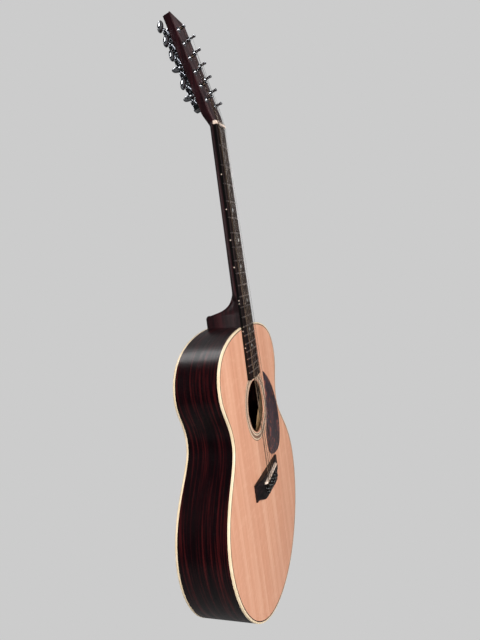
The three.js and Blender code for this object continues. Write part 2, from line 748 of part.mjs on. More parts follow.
/** A rectangle with cut corners, round (x, s). */
function cutCorners(x, s, width, height, corner) {
  const [w, h] = [width / 2, height / 2];
  const quarter = [
    [w, h - corner],
    [w - corner, h],
  ];
  const turned = (px, ps) => quarter.map(([a, b]) => new THREE.Vector2(x + px * a, s + ps * b));
  return [
    ...turned(1, 1),
    ...turned(-1, 1).reverse(),
    ...turned(-1, -1),
    ...turned(1, -1).reverse(),
  ];
}

/** Six gearboxes on their common strip, down one side of the headstock's back. */
function addGearboxes(name, side) {
  const places = tunerPlaces().filter((place) => place.side === side);
  const [first, last] = [places[0], places.at(-1)];
  const plan = bar(first.x, first.s, last.x, last.s + WORM_OFFSET, 7);
  const strip = slab(plan, flat(GEARBOX_FRONT), flat(GEARBOX_FRONT + 1));
  const { width, height, depth, corner, below } = GEARBOX;
  const casings = places.map(({ x, s }) =>
    slab(
      cutCorners(x, s - below, width, height, corner),
      flat(GEARBOX_FRONT),
      flat(GEARBOX_FRONT + depth),
    ),
  );
  const rooms = places.flatMap(({ x, s }) => [
    pegY(GEAR.tip + 0.8, GEARBOX_FRONT - 1, GEARBOX_FRONT + 8.5, x, s, 12),
    pegX(WORM_RADIUS + 0.9, x - side * 6.5, x + side * 12, WORM_Y, s + WORM_OFFSET, 8),
  ]);
  add(headGroup, name, cut(joined(strip, ...casings), ...rooms), materials.chrome);
}

/** A string post with the gear on its inner end, standing along Y. */
function postShape() {
  const end = GEARBOX_FRONT + 7.5;
  const profile = [
    [0, -POST_HEIGHT],
    [POST_RADIUS - 0.5, -POST_HEIGHT],
    [POST_RADIUS, -POST_HEIGHT + 0.5],
    [POST_RADIUS, -11],
    [POST_WAIST_RADIUS, -10],
    [POST_WAIST_RADIUS, -4.5],
    [POST_RADIUS, -3.5],
    [POST_RADIUS, end],
    [0, end],
  ].map(([radius, y]) => new THREE.Vector2(radius, y));
  const teeth = Array.from({ length: 2 * GEAR.teeth }, (_, i) => {
    const angle = (Math.PI * i) / GEAR.teeth;
    const radius = i % 2 ? GEAR.tip : GEAR.root;
    return new THREE.Vector2(radius * Math.cos(angle), radius * Math.sin(angle));
  });
  const gear = slab(teeth, flat(GEARBOX_FRONT + 3.5), flat(GEARBOX_FRONT + 6.5));
  const post = joined(new THREE.LatheGeometry(profile, 8), gear);
  return cut(post, pegX(0.9, -8, 8, -STRING_HEIGHTS[0] - 1, 0, 6));
}

/** A button on its shaft, with the worm on the shaft's inner end, pointing along +X. */
function buttonShape() {
  const grip = new THREE.SphereGeometry(1, 8, 6).rotateZ(Math.PI / 2);
  grip.scale(BUTTON.length / 2, BUTTON.thickness / 2, BUTTON.width / 2);
  grip.translate(BUTTON.middle, 0, 0);
  const worm = pegX(WORM_RADIUS, -5.5, 6, 0, 0, 8);
  const shaft = pegX(1.4, 5, 19.5, 0, 0, 8);
  const collar = pegX(2.8, 9, 11.5, 0, 0, 8);
  return joined(worm, shaft, collar, grip);
}

function addTuners() {
  addGearboxes("gearboxes_bass", -1);
  addGearboxes("gearboxes_treble", 1);
  const post = geometryOf(postShape());
  const button = geometryOf(buttonShape());
  for (const { side, number, s, x } of tunerPlaces()) {
    const sideName = side < 0 ? "bass" : "treble";
    const postMesh = add(headGroup, `tuner_post_${sideName}_${number}`, post, materials.chrome);
    postMesh.position.set(x, 0, s);
    const buttonMesh = add(headGroup, `tuner_button_${sideName}_${number}`, button, materials.chrome);
    buttonMesh.position.set(x, WORM_Y, s + WORM_OFFSET);
    buttonMesh.rotation.order = "YXZ";
    buttonMesh.rotation.x = THREE.MathUtils.degToRad(BUTTON_TURNS[sideName][number - 1]);
    if (side < 0) buttonMesh.rotation.y = Math.PI;
  }
}

// ---- Strings ----

/** A thin round wire through points, in straight stretches. */
function wire(points, radius) {
  const rings = points.map((point, i) => {
    const along = points[Math.min(i + 1, points.length - 1)].clone().sub(points[Math.max(i - 1, 0)]);
    const across = new THREE.Vector3(1, 0, 0).projectOnPlane(along.normalize()).normalize();
    return Array.from({ length: 6 }, (_, k) =>
      across.clone().applyAxisAngle(along, (Math.PI * k) / 3).multiplyScalar(radius).add(point),
    );
  });
  return loft(rings);
}

/** A string's post: the outer courses go to the posts nearest the nut, on their own side. */
function postOf(index) {
  const onBass = index < TUNERS_PER_SIDE;
  const number = onBass ? index : STRINGS.length - 1 - index;
  return tunerPlaces()[onBass ? number : TUNERS_PER_SIDE + number];
}

/** The points of a string's route, from beside its post, over the nut and saddle, to its pin. */
function stringRoute(index, radius) {
  const post = postOf(index);
  const beside = post.x - post.side * (POST_WAIST_RADIUS + radius + GAP);
  const height = STRING_HEIGHTS[(post.number - 1) % 2];
  const atPost = new THREE.Vector3(beside, -height, post.s);
  const atNut = [NUT_THICKNESS + GAP, GAP].map((past) => {
    const x = stringAcross(index, NUT_SPREAD);
    return neckGroup.localToWorld(new THREE.Vector3(x, NUT_TOP - radius - GAP, NECK_LENGTH + past));
  });
  const x = stringAcross(index, SADDLE_SPREAD);
  const saddleZ = SADDLE_Z + x * Math.tan(SADDLE_SLANT);
  const saddleTop = BRIDGE_TOP_Y - SADDLE_SHOWS - radius - GAP;
  const atSaddle = [1, -1].map(
    (side) => new THREE.Vector3(x, saddleTop, saddleZ + (side * SADDLE_THICKNESS) / 2),
  );
  const pin = pinPlace(index);
  const end = new THREE.Vector3(pin.x, BRIDGE_TOP_Y - radius - 2 * GAP, pin.z + PIN_RADIUS + 2 * GAP);
  return [headGroup.localToWorld(atPost), ...atNut, ...atSaddle, end];
}

function addStrings() {
  guitar.updateMatrixWorld(true);
  STRINGS.forEach(({ note, radius, wound }, index) => {
    const material = wound ? materials.bronze : materials.steel;
    add(guitar, `string_${note}`, wire(stringRoute(index, radius), radius), material);
  });
}

// ---- Assembly ----

addPlates();
addBindings();
addSide("side_bass", -1);
addSide("side_treble", 1);
addLiningsAndBlocks();
addTopBracing();
addBackBracing();
addPickguard();
addStrapButton();
addBridge();
addNeck();
addHeelCap();
addFretboard();
addTuners();
addStrings();

export default guitar;
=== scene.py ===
"""Looks of a twelve-string guitar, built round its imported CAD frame.

Metres. +Z runs up the neck, -Y is the way the soundboard faces, +X is the treble side.
The neck and the headstock lean back from the body, so each has a frame of its own.
"""

import math

import bmesh
import bpy
from mathutils import Matrix, Vector
from mathutils.geometry import interpolate_bezier


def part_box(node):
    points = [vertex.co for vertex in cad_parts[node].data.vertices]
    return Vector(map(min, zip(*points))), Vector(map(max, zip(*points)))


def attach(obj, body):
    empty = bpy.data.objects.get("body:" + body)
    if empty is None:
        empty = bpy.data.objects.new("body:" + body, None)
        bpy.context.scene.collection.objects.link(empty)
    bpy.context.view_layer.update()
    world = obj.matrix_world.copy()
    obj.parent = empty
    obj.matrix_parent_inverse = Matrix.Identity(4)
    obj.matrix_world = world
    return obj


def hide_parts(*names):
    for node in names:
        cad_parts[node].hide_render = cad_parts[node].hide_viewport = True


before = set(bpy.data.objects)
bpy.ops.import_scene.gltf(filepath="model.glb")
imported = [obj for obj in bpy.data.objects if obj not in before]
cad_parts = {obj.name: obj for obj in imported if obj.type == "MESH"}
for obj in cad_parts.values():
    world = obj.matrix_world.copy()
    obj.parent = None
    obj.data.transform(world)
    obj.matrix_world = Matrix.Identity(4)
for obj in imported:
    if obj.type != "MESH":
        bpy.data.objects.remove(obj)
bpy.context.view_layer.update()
low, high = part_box("top_binding")

# ---- Driving dimensions ----

BODY_LENGTH = high.z
LOWER_HALF = high.x
WAIST_HALF = 0.1395
UPPER_HALF = 0.168
LOWER_Z = 0.197
WAIST_Z = 0.363
UPPER_Z = 0.456
FRONT = low.y  # the soundboard's face
DEPTH_TAIL = -2 * FRONT
DEPTH_NECK = 0.078
BINDING_WIDTH = 0.0024
BINDING_HEIGHT = 0.0039  # of the cream band that shows; the side wood comes up to it
PALE_LINE_END = 0.0028  # how far in from the edge the front's pale line reaches
DARK_LINE_END = 0.0044  # and the dark line beside it
REAR_LINE_END = 0.0032
SIDE_THICKNESS = 0.0022
BACK_THICKNESS = 0.0028
OUTLINE_STEPS = 24  # points on each of the outline's eight curves

SCALE_LENGTH = 0.6477
FRET_COUNT = 20
NUT_WIDTH = 0.0445
JOINT_WIDTH = 0.0575
BOARD_THICKNESS = 0.0063
BOARD_CROWN = 0.4  # radius across the fretboard
FRET_HEIGHT = 0.0009
NUT_THICKNESS = 0.0055
NUT_TOP = -0.0077  # in the neck's frame
NECK_ANGLE = math.radians(0.6)
NECK_DEPTH_NUT = 0.0105
NECK_DEPTH_HEEL = 0.0135
HEEL_DEPTH = 0.07
HEEL_HALF = 0.011

HEAD_ANGLE = math.radians(14.4)
HEAD_RISE = 0.0046
HEAD_LENGTH = 0.205
HEAD_THICKNESS = 0.015
HEAD_WIDTH_LOW = 0.062
HEAD_WIDTH_TOP = 0.061
HEAD_FLARE = 0.026

HOLE_RADIUS = 0.0485
HOLE_Z = 0.387
ROSETTE_INNER = 0.0505
ROSETTE_OUTER = 0.0645
BRIDGE_HALF = 0.0725
BRIDGE_END = 0.0315  # how far it reaches towards the tail at its ends
BRIDGE_HOLLOW = 0.0285  # draws its edge in beside the belly
BRIDGE_BELLY = 0.0415
BRIDGE_HEIGHT = 0.0095
WING_THICKNESS = 0.004
SADDLE_SHOWS = 0.0052
SADDLE_LENGTH = 0.076
SADDLE_THICKNESS = 0.0032
SADDLE_SLANT = math.radians(5.5)
PIN_ROWS = (0.012, 0.021)
PIN_ASIDE = 0.0018  # the pins nearer the saddle stand this far beside their strings

TUNERS_PER_SIDE = 6
TUNER_PITCH = 0.026
FIRST_TUNER = 0.044
TUNER_FROM_EDGE = 0.0085
POST_RADIUS = 0.0025
POST_WAIST = 0.0021
POST_HEIGHT = 0.014
GEARBOX_FRONT = HEAD_THICKNESS + 0.0003
WORM_Y = GEARBOX_FRONT + 0.005
WORM_OFFSET = 0.0062  # from the post's axis to the worm's, towards the headstock's top
STRING_HEIGHTS = (0.0057, 0.0082)  # over the headstock, at odd and even posts from the nut
BUTTON_CENTRE = 0.026
BUTTON_LENGTH = 0.017
BUTTON_WIDTH = 0.019
BUTTON_THICKNESS = 0.007
BUTTON_TURNS = {-1: (90, 150, 80, 160, 150, 145), 1: (90, 80, 100, 85, 10, 60)}

COURSES_AT_NUT = 0.036
PAIR_AT_NUT = 0.0019
COURSES_AT_SADDLE = 0.059
PAIR_AT_SADDLE = 0.0028

# Note, radius and whether it is wound, from the bass side to the treble side.
STRINGS = (
    ("e3", 0.0003, True),
    ("e2", 0.0006, True),
    ("a3", 0.0002, False),
    ("a2", 0.00047, True),
    ("d4", 0.00015, False),
    ("d3", 0.00036, True),
    ("g4", 0.00012, False),
    ("g3", 0.00029, True),
    ("b3_a", 0.00018, False),
    ("b3_b", 0.00018, False),
    ("e4_a", 0.00013, False),
    ("e4_b", 0.00013, False),
)


def fret_distance(number):
    """Distance from the nut to a fret."""
    return SCALE_LENGTH * (1 - 2 ** (-number / 12))


NECK_LENGTH = fret_distance(14)
SADDLE_Z = BODY_LENGTH + NECK_LENGTH - SCALE_LENGTH
BRIDGE_Z = SADDLE_Z + 0.008
BRIDGE_TOP = FRONT - BRIDGE_HEIGHT
BOARD_END = NECK_LENGTH - fret_distance(FRET_COUNT) - 0.014

NECK = Matrix.Translation((0, FRONT, BODY_LENGTH)) @ Matrix.Rotation(-NECK_ANGLE, 4, "X")
HEAD = (
    NECK
    @ Matrix.Translation((0, -HEAD_RISE, NECK_LENGTH))
    @ Matrix.Rotation(-HEAD_ANGLE, 4, "X")
)


def lerp(a, b, t):
    return a + (b - a) * t


def smoothstep(value, start, end):
    t = min(max((value - start) / (end - start), 0), 1)
    return t * t * (3 - 2 * t)


QUARTER_TURN = math.pi / 2
FULL_TURN = 2 * math.pi


def angles(turn, steps):
    """Equal steps from 0 to a turn, with both ends."""
    return [turn * i / steps for i in range(steps + 1)]


def bezier(handles, count):
    """Flat points along a curve between the first and last of four handles."""
    return [Vector(p[:2]) for p in interpolate_bezier(*handles, count)]


# ---- Meshes: each maker gives (points, faces) ----


def loft(rings, closed=False):
    """A skin over rings of equally many points, capped at both ends or joined end to end."""
    size = len(rings[0])
    count = len(rings)
    points = [Vector(p) for ring in rings for p in ring]
    faces = []
    for r in range(count if closed else count - 1):
        a = r * size
        b = (r + 1) % count * size
        faces += [(a + i, a + (i + 1) % size, b + (i + 1) % size, b + i) for i in range(size)]
    if not closed:
        faces.append(tuple(range(size)))
        faces.append(tuple(range((count - 1) * size, count * size)))
    return points, faces


def lathe(profile, sides=32):
    """A turned shape round the Y axis, from (radius, y) pairs."""
    turns = angles(FULL_TURN, sides)[:-1]
    return loft([[(r * math.cos(t), y, r * math.sin(t)) for t in turns] for r, y in profile])


def tube(points, radius, sides=8):
    """A round wire through points; a list of radii tapers it."""
    radii = radius if isinstance(radius, list) else [radius] * len(points)
    rings = []
    for i, point in enumerate(points):
        along = (points[min(i + 1, len(points) - 1)] - points[max(i - 1, 0)]).normalized()
        across = Vector((1, 0, 0)) - along * along.x
        if across.length < 0.1:
            across = Vector((0, 0, 1)) - along * along.z
        across.normalize()
        other = along.cross(across)
        turns = angles(FULL_TURN, sides)[:-1]
        rings.append([point + (across * math.cos(t) + other * math.sin(t)) * radii[i] for t in turns])
    return loft(rings)


def torus(ring_radius, radius, y, sides=28):
    """A closed turn of wire round the Y axis."""
    turns = angles(FULL_TURN, sides)[:-1]
    section = angles(FULL_TURN, 8)[:-1]
    rings = []
    for t in turns:
        reach = [ring_radius + radius * math.cos(k) for k in section]
        heights = [y + radius * math.sin(k) for k in section]
        rings.append([(d * math.cos(t), h, d * math.sin(t)) for d, h in zip(reach, heights)])
    return loft(rings, closed=True)


def plate(contour, layers):
    """A plate from (x, z) points; each layer is (y, inset)."""
    return loft([[(x, y, z) for x, z in shrunk(contour, inset)] for y, inset in layers])


def shrunk(contour, distance):
    """A closed contour moved inwards."""
    if not distance:
        return contour
    count = len(contour)
    area = sum(
        contour[i][0] * contour[(i + 1) % count][1] - contour[(i + 1) % count][0] * contour[i][1]
        for i in range(count)
    )
    side = math.copysign(1, area)
    moved = []
    for i in range(count):
        before = Vector(contour[i - 1])
        after = Vector(contour[(i + 1) % count])
        along = (after - before).normalized()
        moved.append(Vector(contour[i]) + Vector((-along.y, along.x)) * side * distance)
    return moved


class Shape:
    """Closed parts gathered into one mesh, each with its place."""

    def __init__(self):
        self.points = []
        self.faces = []

    def add(self, part, place=Matrix()):
        points, faces = part
        start = len(self.points)
        self.points += [place @ Vector(p) for p in points]
        self.faces += [tuple(start + i for i in face) for face in faces]
        return self


def piece(name, part, finish, body="root", place=Matrix(), replaces=(), bevel=0.0, crease=35):
    """Makes an object of a part, smooth-shaded up to the crease angle, on its body."""
    shape = part if isinstance(part, Shape) else Shape().add(part)
    mesh = bpy.data.meshes.new(name)
    mesh.from_pydata([place @ p for p in shape.points], [], shape.faces)
    work = bmesh.new()
    work.from_mesh(mesh)
    bmesh.ops.recalc_face_normals(work, faces=work.faces)
    work.to_mesh(mesh)
    work.free()
    mesh.shade_smooth()
    mesh.set_sharp_from_angle(angle=math.radians(crease))
    mesh.materials.append(finish)
    obj = bpy.data.objects.new(name, mesh)
    bpy.context.scene.collection.objects.link(obj)
    if bevel:
        edge = obj.modifiers.new("edges", "BEVEL")
        edge.width = bevel
        edge.segments = 3
        edge.limit_method = "ANGLE"
        edge.angle_limit = math.radians(crease)
        edge.harden_normals = True
    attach(obj, body)
    if replaces:
        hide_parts(*replaces)
    return obj


# ---- Material helpers ----


def srgb(code):
    """A colour written as six hex digits, in linear light."""
    parts = [int(code[i : i + 2], 16) / 255 for i in (0, 2, 4)]
    return [p / 12.92 if p < 0.04045 else ((p + 0.055) / 1.055) ** 2.4 for p in parts] + [1]


def node(tree, kind, inputs=(), **settings):
    """A shader node; an input may be a value or another node's output."""
    made = tree.nodes.new("ShaderNode" + kind)
    for key, value in settings.items():
        setattr(made, key, value)
    for key, value in dict(inputs).items():
        if isinstance(value, bpy.types.NodeSocket):
            tree.links.new(value, made.inputs[key])
        else:
            made.inputs[key].default_value = value
    return made


def material(name, **uniform):
    """A material; uniform gives its shader's plain values. Returns it, its tree and its shader."""
    made = bpy.data.materials.new(name)
    made.use_nodes = True
    shader = made.node_tree.nodes["Principled BSDF"]
    for key, value in uniform.items():
        shader.inputs[key.replace("_", " ")].default_value = value
    return made, made.node_tree, shader


def coords(tree, scale, mirrored=False):
    """The point in the object's frame, scaled along each axis; mirrored folds it about x = 0."""
    point = node(tree, "TexCoord").outputs["Object"]
    if mirrored:
        point = node(tree, "VectorMath", {0: point}, operation="ABSOLUTE").outputs[0]
    return node(tree, "Mapping", {"Vector": point, "Scale": scale}).outputs[0]


def noise(tree, vector, scale=1.0, detail=4.0, roughness=0.55, distortion=0.0):
    values = {"Vector": vector, "Scale": scale, "Detail": detail}
    values |= {"Roughness": roughness, "Distortion": distortion}
    return node(tree, "TexNoise", values).outputs[0]


def ramp(tree, factor, stops, interpolation="LINEAR"):
    """A colour ramp of (position, colour) stops."""
    made = node(tree, "ValToRGB", {0: factor})
    made.color_ramp.interpolation = interpolation
    for _ in stops[2:]:
        made.color_ramp.elements.new(0.5)
    for element, (position, colour) in zip(made.color_ramp.elements, stops):
        element.position = position
        element.color = colour
    return made.outputs[0]


def spread(tree, value, low_in, high_in, low_out, high_out):
    """Maps a range of a value to another range."""
    values = {0: value, 1: low_in, 2: high_in, 3: low_out, 4: high_out}
    return node(tree, "MapRange", values).outputs[0]


def mix(tree, factor, a, b, blend="MIX"):
    """Two colours mixed."""
    return node(tree, "Mix", {0: factor, 6: a, 7: b}, data_type="RGBA", blend_type=blend).outputs[2]


def arithmetic(tree, operation, *values):
    return node(tree, "Math", dict(enumerate(values)), operation=operation).outputs[0]


def paint(tree, shader, colour, roughness):
    tree.links.new(colour, shader.inputs["Base Color"])
    tree.links.new(roughness, shader.inputs["Roughness"])


def bump(tree, shader, height, distance, strength=1.0):
    made = node(tree, "Bump", {"Height": height, "Distance": distance, "Strength": strength})
    tree.links.new(made.outputs[0], shader.inputs["Normal"])


# ---- Materials ----


def wood(name, colours, grain, roughness, coat=0.0, pores=0.5, mirrored=False, level=0.5):
    """Long-grained wood. grain is how fast the figure changes along x, y and z, per metre."""
    made, tree, shader = material(name, Coat_Weight=coat, Coat_Roughness=0.18, Specular_IOR_Level=level)
    vector = coords(tree, grain, mirrored)
    figure = noise(tree, vector, 1.0, 8.0, 0.6, 0.35)
    dark, middle, light = [srgb(code) for code in colours]
    tone = ramp(tree, figure, [(0.33, dark), (0.5, middle), (0.68, light)])
    fine = noise(tree, vector, 7.0, 3.0, 0.7)
    pore = spread(tree, fine, 0.56, 0.66, 0.0, pores)
    rough = spread(tree, figure, 0.3, 0.7, roughness + 0.06, roughness - 0.06)
    paint(tree, shader, mix(tree, pore, tone, dark), rough)
    bump(tree, shader, arithmetic(tree, "SUBTRACT", figure, pore), 0.0002, 0.35)
    return made


def spruce():
    """Book-matched straight grain with soft bands and a faint cross silk."""
    made, tree, shader = material("spruce", Coat_Weight=0.12, Coat_Roughness=0.3, Specular_IOR_Level=0.4)
    bands = noise(tree, coords(tree, (55, 55, 1.6), True), 1.0, 6.0, 0.6, 0.2)
    lines = noise(tree, coords(tree, (620, 620, 3.0), True), 1.0, 2.0, 0.5, 0.1)
    blotch = noise(tree, coords(tree, (9, 9, 5)), 1.0, 3.0, 0.5)
    silk = noise(tree, coords(tree, (45, 45, 130), True), 1.0, 3.0, 0.6, 0.6)
    stops = [(0.3, srgb("d29273")), (0.5, srgb("dfa384")), (0.7, srgb("e9b395"))]
    base = ramp(tree, bands, stops)
    winter = spread(tree, lines, 0.5, 0.68, 0.0, 0.3)
    base = mix(tree, winter, base, srgb("c2896c"))
    base = mix(tree, spread(tree, blotch, 0.35, 0.7, 0.0, 0.35), base, srgb("cf957a"))
    base = mix(tree, spread(tree, silk, 0.5, 0.75, 0.0, 0.22), base, srgb("f6c8aa"))
    paint(tree, shader, base, spread(tree, lines, 0.35, 0.7, 0.42, 0.52))
    bump(tree, shader, lines, 0.00008, 0.3)
    return made


def plastic(name, colours, roughness, scale=60.0, coat=0.0):
    """Moulded or polished solid material with faint clouding and tiny surface scratches."""
    made, tree, shader = material(name, Coat_Weight=coat, Coat_Roughness=0.08)
    cloud = noise(tree, coords(tree, (scale,) * 3), 1.0, 5.0, 0.6)
    stops = [(0.35, srgb(colours[0])), (0.65, srgb(colours[1]))]
    scuff = noise(tree, coords(tree, (900, 900, 900)), 1.0, 3.0, 0.6)
    rough = spread(tree, scuff, 0.35, 0.65, roughness - 0.05, roughness + 0.07)
    paint(tree, shader, ramp(tree, cloud, stops), rough)
    bump(tree, shader, scuff, 0.00003, 0.15)
    return made


def tortoise():
    """Dark purplish brown with a few red-brown flames."""
    made, tree, shader = material("tortoise", Coat_Weight=0.3, Coat_Roughness=0.25)
    cloud = noise(tree, coords(tree, (38, 38, 24)), 1.0, 4.0, 0.55, 1.2)
    fleck = noise(tree, coords(tree, (110, 110, 70)), 1.0, 3.0, 0.5, 1.5)
    stops = [(0.35, srgb("241b20")), (0.55, srgb("3d2f37")), (0.72, srgb("4e3d45"))]
    base = ramp(tree, cloud, stops)
    flame = spread(tree, fleck, 0.57, 0.64, 0.0, 0.9)
    base = mix(tree, flame, base, srgb("a3584a"))
    paint(tree, shader, base, spread(tree, cloud, 0.3, 0.7, 0.28, 0.4))
    bump(tree, shader, fleck, 0.00005, 0.2)
    return made


def metal(name, colour, roughness, scale=400.0, variation=0.06):
    """Polished or drawn metal with fine wipe marks."""
    made, tree, shader = material(name, Metallic=1.0)
    mark = noise(tree, coords(tree, (scale, scale, scale / 6)), 1.0, 4.0, 0.6)
    bright = srgb(colour)
    dull = [c * 0.86 for c in bright[:3]] + [1]
    rough = spread(tree, mark, 0.35, 0.65, roughness, roughness + variation)
    paint(tree, shader, ramp(tree, mark, [(0.3, dull), (0.7, bright)]), rough)
    bump(tree, shader, mark, 0.00002, 0.1)
    return made


def wound_wire():
    """Bronze wrap wire: a fine ridge round the string for each turn of the wrap, with painted shade in the
    grooves and a painted highlight on the crests.
    """
    made, tree, shader = material("wound_wire", Metallic=1.0)
    height = node(tree, "SeparateXYZ", {0: coords(tree, (1, 1, 1))}).outputs[2]
    pitch = 0.0004
    turns = arithmetic(tree, "MULTIPLY", height, 2 * math.pi / pitch)
    ridge = arithmetic(tree, "SINE", turns)
    # Painted shade and highlight: the colour runs dark in each groove and pale on each crest.
    stops = [(0.0, srgb("3b2e27")), (1.0, srgb("84705f"))]
    tone = ramp(tree, spread(tree, ridge, -1, 1, 0, 1), stops)
    paint(tree, shader, tone, spread(tree, ridge, -1, 1, 0.45, 0.3))
    bump(tree, shader, ridge, 0.00005, 0.6)
    return made


def rosette_rings():
    """Rings round the soundhole by radius, the middle one broken by slanted strokes."""
    made, tree, shader = material("rosette_rings", Coat_Weight=0.3, Coat_Roughness=0.3)
    inputs = {0: coords(tree, (1, 0, 1)), 1: (0, 0, HOLE_Z)}
    centred = node(tree, "VectorMath", inputs, operation="SUBTRACT")
    radius = node(tree, "VectorMath", {0: centred.outputs[0]}, operation="LENGTH").outputs["Value"]
    across = spread(tree, radius, ROSETTE_INNER, ROSETTE_OUTER, 0.0, 1.0)
    wood_tone = srgb("dba98a")
    dark = srgb("33241f")
    pale = srgb("efd3b6")
    brown = srgb("8a6350")
    stops = [(0.0, pale), (0.08, dark), (0.17, pale), (0.34, dark), (0.72, pale), (0.89, brown)]
    rings = ramp(tree, across, stops, "CONSTANT")
    parts = node(tree, "SeparateXYZ", {0: centred.outputs[0]}).outputs
    angle = arithmetic(tree, "ARCTAN2", parts[2], parts[0])
    fold = arithmetic(tree, "ABSOLUTE", arithmetic(tree, "SUBTRACT", across, 0.53))
    stroke_turns = arithmetic(tree, "MULTIPLY", angle, 120)
    slant = arithmetic(tree, "MULTIPLY", fold, 30)
    twist = arithmetic(tree, "ADD", stroke_turns, slant)
    strokes = arithmetic(tree, "GREATER_THAN", arithmetic(tree, "SINE", twist), 0.25)
    inside = arithmetic(tree, "LESS_THAN", fold, 0.13)
    pattern = mix(tree, arithmetic(tree, "MULTIPLY", strokes, inside), rings, wood_tone)
    grain = noise(tree, coords(tree, (500, 500, 500)), 1.0, 3.0, 0.6)
    paint(tree, shader, pattern, spread(tree, grain, 0.3, 0.7, 0.36, 0.5))
    bump(tree, shader, grain, 0.00004, 0.2)
    return made


SPRUCE = spruce()
SIDE_WOOD = wood("rosewood_side", ("040102", "0f0306", "401213"), (6, 260, 6), 0.33, 0.1, 0.7, level=0.2)
BACK_WOOD = wood("rosewood_back", ("0a0204", "20080d", "4d1819"), (75, 75, 3), 0.3, 0.3, 0.6, True, 0.35)
NECK_WOOD = wood("mahogany", ("100407", "200a0e", "38161a"), (120, 120, 7), 0.42, 0.0, 0.5, level=0.25)
HEAD_VENEER = wood("head_veneer", ("1c1013", "352325", "523a3b"), (110, 110, 6), 0.45, 0.0, 0.6, level=0.3)
BOARD_WOOD = wood("fretboard_wood", ("0c0607", "19100f", "2b1d1c"), (260, 260, 12), 0.6, 0.0, 0.8, level=0.12)
# A near-black copy of the board's wood for its side faces: painted shade, as those faces turn away from the
# light.
BOARD_SIDE_SHADE = wood("fretboard_side_shade", ("030303", "070606", "0d0b0b"), (260, 260, 12), 0.4, 0.0, 0.5, level=0.2)
BRIDGE_WOOD = wood("bridge_wood", ("060304", "120c0e", "2a1c1d"), (10, 260, 260), 0.45, 0.0, 0.7, level=0.25)
BRACE_WOOD = wood("brace_wood", ("a07a50", "c79f70", "dcbb90"), (40, 260, 40), 0.65, 0.0, 0.3)
CAP_WOOD = wood("heel_cap_wood", ("050303", "0d090a", "1c1416"), (200, 200, 10), 0.35, 0.3, 0.6)
CREAM = plastic("cream", ("e6cfaa", "f2ddbd"), 0.35, 50.0, 0.1)
LINE_DARK = plastic("purfling_dark", ("1c110e", "2b1c17"), 0.4, 90.0)
LINE_PALE = plastic("purfling_pale", ("dcb493", "ecc9a9"), 0.4, 90.0)
TORTOISE = tortoise()
BLACK = plastic("black_plastic", ("060606", "101012"), 0.16, 120.0, 0.5)
BONE = plastic("bone", ("d0b7a5", "ecd8c8"), 0.4, 200.0)
PEARL = plastic("pearl", ("c9d0d0", "f3f4f0"), 0.18, 500.0, 0.6)
CHROME = metal("chrome", "b4b6bb", 0.08, 300.0, 0.06)
FRET_WIRE = metal("fret_wire", "b5aaa6", 0.25)
PLAIN_WIRE = metal("plain_wire", "8f8a87", 0.22, 900.0)
WOUND_WIRE = wound_wire()

# ---- Body ----


def half_outline(side):
    """Half of the outline as (x, z) points, from the neck to the tail."""
    u, w, l = UPPER_HALF, WAIST_HALF, LOWER_HALF
    curves = (
        ((0, BODY_LENGTH), (0.102, BODY_LENGTH), (u, UPPER_Z + 0.06), (u, UPPER_Z)),
        ((u, UPPER_Z), (u, UPPER_Z - 0.037), (w, WAIST_Z + 0.039), (w, WAIST_Z)),
        ((w, WAIST_Z), (w, WAIST_Z - 0.045), (l, LOWER_Z + 0.09), (l, LOWER_Z)),
        ((l, LOWER_Z), (l, LOWER_Z - 0.085), (0.141, 0), (0, 0)),
    )
    points = []
    for curve in curves:
        points += bezier([Vector((side * x, z)) for x, z in curve], OUTLINE_STEPS + 1)[:-1]
    return points + [Vector((0, 0))]


OUTLINE = half_outline(1) + half_outline(-1)[1:-1][::-1]
TAIL_INDEX = 4 * OUTLINE_STEPS


def front(depth):
    """A height function behind the soundboard's face."""
    return lambda z: FRONT + depth


def back(depth):
    """A height function in front of the back's outer face, which slopes."""
    return lambda z: FRONT + lerp(DEPTH_TAIL, DEPTH_NECK, z / BODY_LENGTH) - depth


def loop(inset, height):
    """The outline moved inwards, at a height."""
    return [(x, height(z), z) for x, z in shrunk(OUTLINE, inset)]


def hole_loop(radius, depth):
    """A circle round the soundhole, one point for each of the outline's."""
    centre = Vector((0, HOLE_Z))
    ring = [centre + (p - centre).normalized() * radius for p in OUTLINE]
    return [(x, FRONT + depth, z) for x, z in ring]


def rounded_band(outer, inner, face, far, radius=0.0009):
    """A binding's section: a rounded outer corner at its face."""
    steps = angles(QUARTER_TURN, 4)
    corner = [loop(outer + radius * (1 - math.cos(t)), face(radius * (1 - math.sin(t)))) for t in steps]
    return loft([loop(outer, far), *corner, loop(inner, face(0)), loop(inner, far)], closed=True)


def add_plates():
    """The soundboard with its hole, the rosette let into it, and the back."""
    top = [
        loop(BINDING_WIDTH, front(0)),
        loop(BINDING_WIDTH, front(0.003)),
        hole_loop(HOLE_RADIUS, 0.003),
        hole_loop(HOLE_RADIUS, 0.0005),
        hole_loop(HOLE_RADIUS + 0.0005, 0),
        hole_loop(ROSETTE_INNER, 0),
        hole_loop(ROSETTE_INNER, 0.0012),
        hole_loop(ROSETTE_OUTER, 0.0012),
        hole_loop(ROSETTE_OUTER, 0),
    ]
    piece("soundboard_spruce", loft(top, closed=True), SPRUCE, replaces=("soundboard",))
    corners = (
        (ROSETTE_INNER, 0.0011),
        (ROSETTE_INNER, -0.00003),
        (ROSETTE_OUTER, -0.00003),
        (ROSETTE_OUTER, 0.0011),
    )
    rings = [hole_loop(radius, depth) for radius, depth in corners]
    piece("rosette_inlay", loft(rings, closed=True), rosette_rings(), replaces=("rosette",))
    plate_back = loft([loop(BINDING_WIDTH, back(BACK_THICKNESS)), loop(BINDING_WIDTH, back(0.00005))])
    piece("back_plate", plate_back, BACK_WOOD, replaces=("back",))


